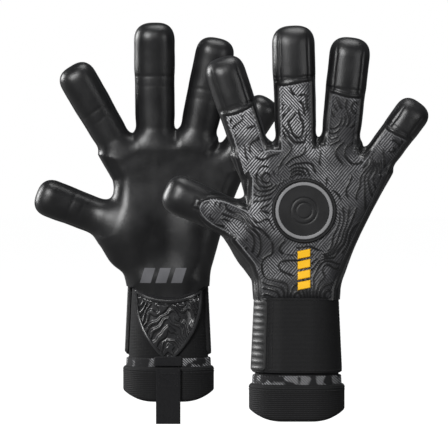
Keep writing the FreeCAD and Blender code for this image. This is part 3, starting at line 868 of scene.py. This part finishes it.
def make_skin(glove, step=1.0):
    points, triangles = skin_mesh(glove, step)
    fields = (
        lambda p: p[:, 2] - heel_edge(glove, p),
        lambda p: textile_field(p, glove),
        lambda p: beyond(p, glove, lambda f: FLEX_START - 0.8),
        lambda p: beyond(p, glove, lambda f: f.split),
    )
    for field in fields:
        points, triangles = cut(points, triangles, field(points))
    normals = point_normals(points, triangles)
    points = points + normals * relief(points, glove)[:, None]
    glove.skin = points
    if glove.palm < 0:
        triangles = triangles[:, ::-1]
    centre = points[triangles].mean(1)
    above = centre[:, 2] > heel_edge(glove, centre)
    triangles, centre = triangles[above], centre[above]
    normals = point_normals(glove.world(points), triangles)
    cloth = textile_field(centre, glove) > 0
    level = (beyond(centre, glove, lambda f: FLEX_START - 0.8) > 0).astype(int)
    level += beyond(centre, glove, lambda f: f.split) > 0
    owner = np.where(level > 0, nearest_finger(centre, glove), -1)
    for part, finger in [(0, -1)] + [(1, i) for i in range(5)] + [(2, i) for i in range(5)]:
        for is_cloth in (False, True):
            chosen = (owner == finger) & (level == part) & (cloth == is_cloth)
            if chosen.any():
                finish_skin_piece(glove, points, triangles[chosen], normals, part, finger, is_cloth)


# %% One piece of skin; the hand's pieces go on the root body
def finish_skin_piece(glove, points, triangles, normals, part, finger, is_cloth):
    where = "hand" if part == 0 else FINGERS[finger] + ("_base" if part == 1 else "_tip")
    name = f"{glove.side}_{where}_{'textile' if is_cloth else 'latex'}_skin"
    attributes = {}
    if is_cloth:
        some, some_triangles = compact(points, triangles)
        some, some_triangles = subdivide(some, some_triangles)
        some, some_triangles = compact(some, some_triangles)
        stroke = stroke_field(some, glove)
        lift = point_normals(some, some_triangles) * (glove.palm if glove.palm < 0 else 1)
        some = some + lift * (0.55 * stroke)[:, None]
        place = glove.world(some)
        shading = point_normals(place, some_triangles)
        # The textile's painted light, its strokes and its pale edge thread go to the shader as attributes.
        attributes = {"stroke": stroke, "painted_light_patches": painted_light_in_patches(some), "thread": outline_thread(some, glove)}
    else:
        some, some_triangles, shading = compact(points, triangles, normals)
        place = glove.world(some)
    piece = add_piece(name, place, some_triangles, TEXTILE if is_cloth else LATEX, shading, attributes)
    side = glove.side
    if part == 0:
        nodes = (side + "_back_panel",) if is_cloth else (side + "_palm_latex", side + "_gussets")
        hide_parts(*nodes)
        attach(piece, ROOT)
        return
    f = glove.fingers[FINGERS[finger]]
    body = f"{side}_{f.name}"
    if part == 1:
        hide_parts(f"{body}_back" if is_cloth else f"{body}_latex")
        bodies, start, end = (ROOT, body), FLEX_START, f.split - 0.5
    else:
        if not is_cloth:
            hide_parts(f"{body}_cap")
        bodies, start, end = (body, body + "_tip"), max(f.split + 0.3, f.shaft - 13), f.shaft + 13
    line = np.array([[f.x + s * f.dx, 0, f.z + s * f.dz] for s in (start, end)])
    a, b = glove.world(line)
    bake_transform(piece)


SKIN_STEP = 1.0
for glove in gloves:
    make_skin(glove, SKIN_STEP)

# %% [markdown]
# ## The wrist
# Below the hand a glove is a knitted bandage on a liner, with a thick hem at its mouth and a strap
# across the back. All of these are bands round a flattened tube, so one function wraps a flat place
# (distance round the wrist, radius, height) on that tube. It also draws the bandage in slightly
# towards the hand, as elastic does.

# %% Wrapping round the wrist
REACH = 20.0
ARC = math.pi * REACH
AROUND = 4 * CORE + 2 * ARC
KNOTS = (-2 * CORE - ARC, -CORE - ARC, -CORE, CORE, CORE + ARC, 2 * CORE + ARC)
HALF = AROUND / 2


def drawn_in(z):
    return 3.0 * np.clip((z - 26) / 62, 0, 1.05)


def wrap(u, radius, z):
    """Points of the glove's plane; u is 0 at the middle of the back and grows towards +x."""
    u = (np.asarray(u, float) + HALF) % AROUND - HALF
    base = np.interp(u, KNOTS, (0, -CORE, -CORE, CORE, CORE, 0))
    turn = np.radians(np.interp(u, KNOTS, (-270, -270, -90, -90, 90, 90)))
    reach = radius - drawn_in(z)
    return np.stack(np.broadcast_arrays(base + reach * np.cos(turn), reach * np.sin(turn), z), -1)


def round_to(x, radius):
    """The distance round the wrist at which the back reaches x."""
    side = np.clip((abs(x) - CORE) / radius, 0, 1)
    return math.copysign(min(abs(x), CORE) + math.asin(side) * REACH, x)


# %% Thin closed solids
BENT_STRAP = "strap, sewn at the side"
STRAP_BEND = 11.0
STRAP_RADIUS = 21.5


def thin_solid(outer, inner, closed=False):
    """Points and quads of the wall between two grids of points."""
    rows, columns = outer.shape[:2]
    front = np.arange(rows * columns).reshape(rows, columns)
    if closed:
        front = np.vstack([front, front[:1]])
    rear = front + rows * columns
    quads = []

    def join(a, b, c, d):
        quads.append(np.stack([a, b, c, d], -1).reshape(-1, 4))

    join(front[:-1, :-1], front[1:, :-1], front[1:, 1:], front[:-1, 1:])
    join(rear[:-1, :-1], rear[:-1, 1:], rear[1:, 1:], rear[1:, :-1])
    join(front[:-1, 0], rear[:-1, 0], rear[1:, 0], front[1:, 0])
    join(front[:-1, -1], front[1:, -1], rear[1:, -1], rear[:-1, -1])
    if not closed:
        join(front[0, :-1], front[0, 1:], rear[0, 1:], rear[0, :-1])
        join(front[-1, :-1], rear[-1, :-1], rear[-1, 1:], front[-1, 1:])
    return np.concatenate([outer.reshape(-1, 3), inner.reshape(-1, 3)]), np.concatenate(quads)


def settle(piece, glove, body):
    """Put a piece on its body; a piece of BENT_STRAP is baked where it is made and goes on no body."""
    if body == BENT_STRAP:
        reach = CORE + STRAP_RADIUS
        ends = glove.world(np.array([[reach, 0, 60.0], [reach - STRAP_BEND, 0, 60.0]]))
        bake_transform(piece)
    else:
        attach(piece, body if body == ROOT else f"{glove.side}_{body}")


def glove_piece(name, glove, points, faces, material, nodes=(), body=ROOT, sharp=35):
    """A piece of one glove, turned to that glove, on its body and in place of its CAD nodes."""
    if glove.palm < 0:
        faces = faces[:, ::-1]
    piece = add_piece(f"{glove.side}_{name}", glove.world(points), faces, material)
    piece.data.set_sharp_from_angle(angle=math.radians(sharp))
    if nodes:
        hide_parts(*[f"{glove.side}_{n}" for n in nodes])
    settle(piece, glove, body)
    return piece


def edge_roll(distance, roll, thick):
    """How far an outer face drops near its edge."""
    near = np.clip(1 - distance / roll, 0, 1)
    return thick * (1 - np.sqrt(1 - near**2))


# %% Bands all the way round
def band(name, glove, low, high, inner, outer, material, slot, nodes=(), roll=1.2, swell=None, rows=24):
    """A closed band; low and high may change round the wrist, and swell adds height outside."""
    u = np.linspace(-HALF, HALF, 160)[:-1, None]
    t = np.linspace(0, 1, rows)[None, :]
    t = 0.5 - 0.5 * np.cos(math.pi * t) * (0.4 + 0.6 * np.abs(np.cos(math.pi * t)))
    bottom = low(u) if callable(low) else low + 0 * u
    top = high(u) if callable(high) else high + 0 * u
    z = bottom + (top - bottom) * t
    edge = np.minimum(z - bottom, top - z)
    face = outer - edge_roll(edge, roll, (outer - inner) * 0.75)
    if swell is not None:
        face = face + swell(u, z) * smooth_step(0, 1.5, edge)
    points, quads = thin_solid(wrap(u, face, z), wrap(u, inner, z), closed=True)
    return glove_piece(name, glove, points, quads, material, nodes)


# %% Patches on part of the wrist
def patch(name, glove, left, right, low, high, inner, outer, material, slot, nodes=(), **more):
    """A patch between two distances round the wrist, with rounded corners and rolled edges."""
    corner, roll, body = more.get("corner", 2.0), more.get("roll", 0.9), more.get("body", ROOT)
    swell, cell = more.get("swell"), more.get("cell", 0.9)
    z = np.linspace(low, high, int((high - low) / cell) + 2)[None, :]
    inside = np.clip(corner - np.minimum(z - low, high - z), 0, corner)
    half = (right - left) / 2 - (corner - np.sqrt(np.maximum(corner**2 - inside**2, 0)))
    s = np.linspace(-1, 1, int((right - left) / cell) + 2)[:, None]
    u = (left + right) / 2 + s * half
    edge = np.minimum(half * (1 - np.abs(s)), np.minimum(z - low, high - z))
    face = outer - edge_roll(edge, roll, (outer - inner) * 0.7)
    if swell is not None:
        face = face + swell(u, z) * smooth_step(0.8, 2.0, edge)
    points, quads = thin_solid(wrap(u, face, z), wrap(u, inner, z))
    return glove_piece(name, glove, points, quads, material, nodes, body)


# %% [markdown]
# ## Stitches
# A stitch repeats along a path, so Geometry Nodes lay small capsules of thread on the points of a
# curve. The tree's inputs are the pitch, a stitch's length and the thread's radius.


# %% The stitch tree
def stitch_tree():
    tree = bpy.data.node_groups.new("stitches", "GeometryNodeTree")
    face = tree.interface
    face.new_socket("Path", in_out="INPUT", socket_type="NodeSocketGeometry")
    for label in ("Pitch", "Length", "Radius"):
        face.new_socket(label, in_out="INPUT", socket_type="NodeSocketFloat")
    face.new_socket("Thread", in_out="OUTPUT", socket_type="NodeSocketGeometry")
    add, link = tree.nodes.new, tree.links.new
    given, result = add("NodeGroupInput"), add("NodeGroupOutput")
    spots = add("GeometryNodeCurveToPoints")
    spots.mode = "LENGTH"
    link(given.outputs["Path"], spots.inputs["Curve"])
    link(given.outputs["Pitch"], spots.inputs["Length"])
    stitch = add("GeometryNodeMeshCylinder")
    stitch.inputs["Vertices"].default_value = 6
    link(given.outputs["Radius"], stitch.inputs["Radius"])
    link(given.outputs["Length"], stitch.inputs["Depth"])
    lay = add("GeometryNodeInstanceOnPoints")
    link(spots.outputs["Points"], lay.inputs["Points"])
    link(spots.outputs["Rotation"], lay.inputs["Rotation"])
    link(stitch.outputs["Mesh"], lay.inputs["Instance"])
    real, dye = add("GeometryNodeRealizeInstances"), add("GeometryNodeSetMaterial")
    dye.inputs["Material"].default_value = THREAD
    link(lay.outputs["Instances"], real.inputs["Geometry"])
    link(real.outputs["Geometry"], dye.inputs["Geometry"])
    link(dye.outputs["Geometry"], result.inputs["Thread"])
    return tree


STITCHES = stitch_tree()


# %% Stitches along paths
def sew(name, glove, paths, body=ROOT, pitch=2.6, length=1.9, radius=0.28):
    """Rows of stitches; each path is points of the glove's plane, in millimetres."""
    curve = bpy.data.curves.new(name, "CURVE")
    curve.dimensions = "3D"
    for path in paths:
        spline = curve.splines.new("POLY")
        place = glove.world(path)
        spline.points.add(len(place) - 1)
        spline.points.foreach_set("co", np.column_stack([place, np.ones(len(place))]).ravel())
    guide = bpy.data.objects.new(name + "_guide", curve)
    bpy.context.collection.objects.link(guide)
    modifier = guide.modifiers.new("stitches", "NODES")
    modifier.node_group = STITCHES
    sockets = {s.name: s.identifier for s in STITCHES.interface.items_tree if s.in_out == "INPUT"}
    for label, value in (("Pitch", pitch), ("Length", length), ("Radius", radius)):
        modifier[sockets[label]] = value / MM
    solid = guide.evaluated_get(bpy.context.evaluated_depsgraph_get())
    mesh = bpy.data.meshes.new_from_object(solid)
    mesh.name = name
    bpy.data.objects.remove(guide)
    rows = bpy.data.objects.new(f"{glove.side}_{name}", mesh)
    bpy.context.collection.objects.link(rows)
    settle(rows, glove, body)
    return rows


def frame_path(left, right, low, high, radius, corner=2.5):
    """A closed rounded rectangle round the wrist, for a row of stitches."""
    turn = np.radians(np.arange(0, 91, 15))
    path = []
    for k, (cu, cz) in enumerate(((right, high), (left, high), (left, low), (right, low))):
        su, sz = (1 if k in (0, 3) else -1), (1 if k in (0, 1) else -1)
        angle = turn + k * math.pi / 2
        across = cu - su * corner + corner * np.cos(angle)
        up = cz - sz * corner + corner * np.sin(angle)
        path.append(np.column_stack([across, up]))
    path = np.concatenate(path + [path[0][:1]])
    steps = np.concatenate([[0], np.cumsum(np.linalg.norm(np.diff(path, axis=0), axis=1))])
    at = np.arange(0, steps[-1], 1.0)
    u, z = np.interp(at, steps, path[:, 0]), np.interp(at, steps, path[:, 1])
    return wrap(u, radius, z)


# %% [markdown]
# ## Liner, bandage and hem
# The hem is a thick ribbed knit whose lower edge rises a little at the sides. Above it lies a narrow
# band with a speckled jacquard. A flat tape covers the edge where latex and textile meet the knit.


# %% Knitted tubes
def ribs(pitch, height):
    return lambda u, z: height * np.cos(2 * math.pi * u / pitch) + 0 * z


def rows_of_knit(pitch, height):
    return lambda u, z: height * np.cos(2 * math.pi * z / pitch) + 0 * u


def hem_low(u):
    return 6.5 * np.abs(np.cos(np.radians(np.interp(u, KNOTS, (-270, -270, -90, -90, 90, 90))))) ** 2.5


def tape_low(u):
    """The tape follows the latex's lower edge."""
    x = wrap(u, 20, 80)[..., 0]
    palm = np.abs(u) > CORE + ARC / 2
    return 83.0 - HEEL_DIP * np.clip(1 - (x / 26) ** 2, 0, 1) * palm


def knitted_wrist(glove):
    band("inner_liner_knit", glove, 3.0 + 4, 90, 16.9, 17.7, LINER, "liner_knit", ("inner_liner",))
    elastic = rows_of_knit(2.1, 0.14)
    knit = dict(swell=elastic, rows=120)
    band("wrist_bandage_knit", glove, 8, 89, 17.7, 20.2, BANDAGE, "bandage_knit", ("wrist_bandage",), **knit)
    rib = ribs(AROUND / 90, 0.05)
    band("cuff_hem_knit", glove, hem_low, 26, 19.6, 24.0, HEM, "cuff_knit", ("cuff_hem",), 2.2, rib)
    band("cuff_jacquard_band", glove, 24.6, 32, 19.8, 21.9, BAND, "cuff_knit", (), 0.9)
    tape_high = lambda u: tape_low(u) + 3.2
    band("heel_tape", glove, tape_low, tape_high, 19.2, 22.3, WEBBING, "webbing", (), 1.2, rows=10)
    u = np.linspace(-HALF, HALF, 200)
    sew("hem_stitches", glove, [wrap(u, 24.0, 23.4 + 0 * u), wrap(u, 24.05, 21.6 + 0 * u)], pitch=2.4)


for glove in gloves:
    knitted_wrist(glove)
print("knitted tubes made")

# %% [markdown]
# ## Strap
# The strap is a wide textile band across the back. Its free end carries a soft rubber pull with
# plain ribs, and under it lie the hook and the loop patches. The strap itself stays where it is made;
# the pull and the hook patch go on its flap's body, and the loop patch stays on the wrist.


# %% Strap and patches
def tab_ribs(u, z):
    """Plain raised bars across the pull, with a smooth margin."""
    return 0.3 * smooth_step(-0.2, 0.5, np.cos(2 * math.pi * z / 4.6)) + 0 * u


def strap_of(glove):
    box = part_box(f"{glove.side}_strap")
    low, high = box[0][2] * MM, box[1][2] * MM
    end = CORE + ARC / 2 - 2
    fabric = lambda u, z: 0.12 * np.cos(2 * math.pi * z / 1.9) + 0 * u
    flap = dict(swell=fabric, body=BENT_STRAP, corner=3.5)
    patch("strap_fabric", glove, -end, end, low, high, 20.9, 22.8, STRAP, "strap_fabric", ("strap",), **flap)
    inner = round_to(-23.8, 25.3)
    tab = dict(swell=tab_ribs, body="strap_flap", corner=2.5, cell=0.6)
    heights = low + 1.5, high - 1.5
    patch("strap_pull", glove, -end + 1, inner, *heights, 22.6, 23.9, TAB, "soft_rubber", ("strap_tab",), **tab)
    for name, radii, body in (("hook", (20.5, 21.0), "strap_flap"), ("loop", (20.0, 20.5), ROOT)):
        node_name = name + "_patch"
        patch_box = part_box(f"{glove.side}_{node_name}")
        left, right = (round_to(patch_box[k][0] * MM - glove.x, 21.0) for k in (0, 1))
        z = patch_box[0][2] * MM, patch_box[1][2] * MM
        pile = dict(body=body, roll=0.4)
        patch(name + "_pile", glove, left, right, *z, *radii, LOOP, "hook_and_loop", (node_name,), **pile)
    rows = [frame_path(-end + 2.2, end - 2.2, low + 2.2, high - 2.2, 22.85)]
    rows.append(frame_path(inner + 1.6, inner + 4.4, low + 2.6, high - 2.6, 22.9, 1.0))
    sew("strap_stitches", glove, rows, BENT_STRAP)
    seam = dict(corner=2.5, roll=1.2)
    patch("strap_root", glove, end - 2.5, end + 9, low + 1, high - 1, 19.8, 22.2, STRAP, "strap_fabric", **seam)
    sew("root_stitches", glove, [frame_path(end, end + 7, low + 3, high - 3, 22.3, 1.0)])


for glove in gloves:
    strap_of(glove)
print("straps made")

# %% [markdown]
# ## Heel insert
# On the palm side of the wrist a glossy rubber V helps the hand out of the glove. Its top follows
# the heel's curve and dips in the middle, and its face has a raised maze. A rolled piping runs
# round its edge.

# %% The V's outline
V_LOW, V_HIGH, V_HALF = 30.5, 81.5, 26.5
V_DIP = 7.5


def v_place(s, t):
    """Distance round the wrist and height at s across, from -1 to 1, and t up, from 0 to 1."""
    width = 1.2 + (V_HALF - 1.2) * np.sin(math.pi / 2 * t**0.9)
    top = V_HIGH - V_DIP * (1 - s**2)
    return HALF + s * width, V_LOW + (top - V_LOW) * t


def maze(u, z):
    """Raised winding walls, from 0 to 1."""
    flat = np.stack(np.broadcast_arrays(u, 0 * u, z), -1).reshape(-1, 3)
    slope = np.abs(flat[:, 0] - HALF) * 0.55 + flat[:, 2] * 0.75
    phase = (slope + 7 * noise(flat, 13, 31) + 3 * noise(flat, 6, 32)) / 5.0
    gap = np.abs(phase - np.round(phase)) * 5.0
    broken = smooth_step(-0.85, -0.5, noise(flat, 6, 33))
    return (smooth_step(0.35, -0.35, gap - 1.15) * broken).reshape(np.shape(u * z))


# %% Insert and piping
def tube(path, radius, sides=10):
    """A closed loop's round tube, as points and quads."""
    ahead = np.roll(path, -1, 0) - np.roll(path, 1, 0)
    ahead /= np.linalg.norm(ahead, axis=1)[:, None]
    out = np.column_stack([path[:, 0] * 0, np.ones(len(path)), path[:, 0] * 0])
    side = np.cross(ahead, out)
    side /= np.linalg.norm(side, axis=1)[:, None]
    out = np.cross(side, ahead)
    turn = np.linspace(0, 2 * math.pi, sides, endpoint=False)
    around = np.cos(turn)[:, None] * side[:, None] + np.sin(turn)[:, None] * out[:, None]
    ring = path[:, None] + radius * around
    index = np.arange(len(path) * sides).reshape(len(path), sides)
    a, b = index, np.roll(index, -1, 0)
    quads = np.stack([a, b, np.roll(b, -1, 1), np.roll(a, -1, 1)], -1).reshape(-1, 4)
    return ring.reshape(-1, 3), quads


def facing_out(points, quads):
    """The same quads, turned so that a closed shape's volume is positive."""
    a, b, c, d = (points[quads[:, k]] for k in range(4))
    volume = np.einsum("ij,ij->i", a, np.cross(b, c)) + np.einsum("ij,ij->i", a, np.cross(c, d))
    return quads if volume.sum() > 0 else quads[:, ::-1]


def heel_insert(glove):
    s, t = np.linspace(-1, 1, 118)[:, None], np.linspace(0, 1, 118)[None, :]
    u, z = v_place(s, t)
    edge = np.minimum(1 - np.abs(s), np.minimum(t, 1 - t)) * V_HALF
    face = 20.6 + 1.5 * maze(u, z) * smooth_step(1.0, 2.5, edge)
    points, quads = thin_solid(wrap(u, face, z), wrap(u, 19.6 + 0 * face, z))
    glove_piece("heel_insert_rubber", glove, points, quads, INSERT, ("heel_insert",), sharp=60)
    ends = np.linspace(-1, 1, 90)
    rise = np.linspace(0, 1, 90)
    loop = [np.column_stack(v_place(ends, 0 * ends)), np.column_stack(v_place(1 + 0 * rise, rise))]
    loop += [np.column_stack(v_place(-ends, 1 + 0 * ends)), np.column_stack(v_place(-1 + 0 * rise, 1 - rise))]
    loop = np.concatenate([part[:-1] for part in loop])
    closed = np.vstack([loop, loop[:1]])
    steps = np.concatenate([[0], np.cumsum(np.linalg.norm(np.diff(closed, axis=0), axis=1))])
    at = np.linspace(0, steps[-1], 300, endpoint=False)
    closed = np.vstack([loop, loop[:1]])
    path = wrap(np.interp(at, steps, closed[:, 0]), 21.3, np.interp(at, steps, closed[:, 1]))
    points, quads = tube(path, 1.35)
    faces = facing_out(points, quads)
    glove_piece("heel_piping_roll", glove, points, faces, INSERT, ("heel_piping",))


for glove in gloves:
    heel_insert(glove)
print("heel inserts made")

# %% [markdown]
# ## Badge, bars and stripes
# The badge is a flat rubber disc with a raised ring, and below it stand four plain slanting bars. On
# the left palm lie three plain printed stripes. All of them follow the skin under them: a nearest
# point search on the skin gives the height of each vertex.


# %% Lying on the skin
def skin_height(glove, x, z, palm_side):
    """v of the skin's palm or back face at places in the glove's plane."""
    near = glove.skin[:, 1] > 2 if palm_side else glove.skin[:, 1] < -2
    cloud = glove.skin[near]
    spots = np.column_stack([np.ravel(x), np.ravel(z)])
    box = (np.abs(cloud[:, 0] - spots[:, 0].mean()) < 40) & (np.abs(cloud[:, 2] - spots[:, 1].mean()) < 40)
    cloud = cloud[box]
    heights = np.empty(len(spots))
    for start in range(0, len(spots), 500):
        some = spots[start : start + 500]
        far = (some[:, :1] - cloud[None, :, 0]) ** 2 + (some[:, 1:] - cloud[None, :, 2]) ** 2
        weight = 1 / (far + 6.0) ** 3
        heights[start : start + 500] = (weight * cloud[None, :, 1]).sum(1) / weight.sum(1)
    return heights.reshape(np.shape(x))


def on_skin(
    name, glove, x, z, height, material, nodes=(), palm_side=False, sink=1.4, sharp=35, closed=False
):
    """A thin solid over the skin; x, z and height are grids."""
    base = skin_height(glove, x, z, palm_side)
    way = 1 if palm_side else -1
    outer = np.stack([x, base + way * height, z], -1)
    inner = np.stack([x, base - way * sink, z], -1)
    points, quads = thin_solid(outer, inner, closed)
    return glove_piece(name, glove, points, facing_out(points, quads), material, nodes, sharp=sharp)


# %% Badge
def badge_profile(radius):
    """Height of the disc: a rolled rim and a flat field with two round grooves."""
    rim = 0.8 * smooth_step(20.4, 20.9, radius) * smooth_step(22.6, 21.8, radius)
    dish = -0.35 * groove(radius - 9.0, 0.5) - 0.35 * groove(radius - 5.5, 0.5)
    return 1.1 + rim + dish - 0.8 * smooth_step(22.0, 22.6, radius)


def badge_of(glove):
    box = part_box(f"{glove.side}_medallion")
    cx, cz = (box[0][0] + box[1][0]) / 2 * MM - glove.x, (box[0][2] + box[1][2]) / 2 * MM
    radius = np.concatenate([np.linspace(0.01, 17, 40), np.linspace(17.2, 22.6, 26)])[None, :]
    turn = np.linspace(0, 2 * math.pi, 129)[:-1, None]
    x, z = cx + radius * np.cos(turn), cz + radius * np.sin(turn)
    height = badge_profile(radius) + 0 * turn
    on_skin("badge_disc", glove, x, z, height, BADGE, ("medallion",), closed=True)
    ring = np.linspace(17.6, 20.0, 9)[None, :]
    x, z = cx + ring * np.cos(turn), cz + ring * np.sin(turn)
    crown = 1.9 - edge_roll(np.minimum(ring - 17.6, 20.0 - ring), 0.6, 0.5) + 0 * turn
    on_skin("badge_ring", glove, x, z, crown, BADGE_RING, closed=True, sink=-0.6)


# %% Bars and stripes
def slanted(glove, name, left, right, low, high, lean, height, material, nodes, palm_side=False):
    s = np.linspace(0, 1, 24)[:, None]
    t = np.linspace(0, 1, 12)[None, :]
    x = left + (right - left) * s + 0 * t
    z = low + (high - low) * t + lean * (s - 0.5)
    edge = np.minimum(np.minimum(s, 1 - s) * (right - left), np.minimum(t, 1 - t) * (high - low))
    top = height - edge_roll(edge, 0.7, height * 0.6)
    return on_skin(name, glove, x, z, top, material, nodes, palm_side, 1.2)


def bars_of(glove):
    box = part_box(f"{glove.side}_accent_bars")
    left, right = box[0][0] * MM - glove.x, box[1][0] * MM - glove.x
    low, high = box[0][2] * MM, box[1][2] * MM
    pitch = (high - low + 1.6) / 4
    for k in range(4):
        bottom = low + k * pitch
        node_names = ("accent_bars",) if k == 0 else ()
        upper = bottom + pitch - 1.6
        slanted(glove, f"bar_{k + 1}", left, right, bottom, upper, 1.8, 1.3, YELLOW, node_names)


for glove in gloves:
    badge_of(glove)
    bars_of(glove)
left_glove = gloves[1]
for k in range(3):
    start = -21.0 + 11.5 * k
    s, t = np.linspace(0, 1, 16)[:, None], np.linspace(0, 1, 16)[None, :]
    slope_x = start + 8.0 * s + 3.5 * t
    slope_z = 87.5 + 11.0 * t + 0 * s
    rise = 0.25 + 0 * slope_x
    on_skin(f"palm_stripe_{k + 1}", left_glove, slope_x, slope_z, rise, PRINT, (), True)
print("badges, bars and stripes made")

# %% [markdown]
# ## Pull tabs
# A loop of webbing is folded double and sewn into the hem on the palm side. The CAD solid gives its
# place and its swing; the mesh bends a strip over, leaves a slim gap between the two layers and
# adds a box of stitches.


# %% Pull tab
def pull_tab(glove):
    cloud = node_points(f"{glove.side}_pull_tab")
    cloud = np.column_stack([cloud[:, 0] - glove.x, (cloud[:, 1] - glove.y) * glove.palm, cloud[:, 2]])
    middle = (cloud.max(0) + cloud.min(0)) / 2
    flat = cloud[:, 1:] - middle[1:]
    down = np.linalg.svd(flat - flat.mean(0))[2][0]
    down = -down if down[1] > 0 else down
    out = np.array([-down[1], down[0]])
    out = out if out[0] > 0 else -out
    along, across = flat @ down, flat @ out
    top, end, thick = along.min(), along.max(), across.max() - across.min()
    half = (cloud[:, 0].max() - cloud[:, 0].min()) / 2
    centre = middle[1:] + out * (across.max() + across.min()) / 2

    def place(x, s, depth):
        spot = centre + s[..., None] * down + depth[..., None] * out
        return np.stack([middle[0] + x + 0 * s, spot[..., 0], spot[..., 1]], -1)

    bend = np.linspace(-math.pi / 2, math.pi / 2, 9)
    run = np.linspace(top, end - thick / 2, 34)
    skin_s = np.concatenate([run, end - thick / 2 + thick / 2 * np.cos(bend), run[::-1]])
    skin_d = np.concatenate([-thick / 2 + 0 * run, thick / 2 * np.sin(bend), thick / 2 + 0 * run])
    core = 0.12
    core_s = np.concatenate([run, end - thick / 2 + core * np.cos(bend), run[::-1]])
    core_d = np.concatenate([-core + 0 * run, core * np.sin(bend), core + 0 * run])
    x = half * np.linspace(-1, 1, 20)[:, None]
    rim = 0.35 * (1 - np.sqrt(1 - np.clip((np.abs(x) - half + 0.9) / 0.9, 0, 1) ** 2))
    twill = 0.06 * np.cos(2 * math.pi * (x + skin_s) / 1.4)
    depth = skin_d * (1 - rim / thick * 2) + np.sign(skin_d) * twill
    points, quads = thin_solid(place(x, skin_s + 0 * x, depth), place(x, core_s + 0 * x, core_d + 0 * x))
    faces = facing_out(points, quads)
    glove_piece("pull_tab_webbing", glove, points, faces, WEBBING, ("pull_tab",), "pull")
    low, high = top + 4, top + 13
    corners = np.array([[-1, low], [1, low], [1, high], [-1, high], [-1, low], [1, high]])
    steps = np.linspace(0, 5, 80)
    px = (half - 2.2) * np.interp(steps, range(6), corners[:, 0])
    ps = np.interp(steps, range(6), corners[:, 1])
    rows = [place(px, ps, thick / 2 + 0.1 + 0 * ps)]
    sew("pull_stitches", glove, rows, "pull", pitch=2.2, length=1.6)
    seat = dict(corner=1.5, roll=0.8)
    left, right = HALF - half - 1.5, HALF + half + 1.5
    patch("pull_seat", glove, left, right, 25.9, 33.5, 21.4, 23.6, WEBBING, "webbing", **seat)


for glove in gloves:
    pull_tab(glove)
print("pull tabs made")
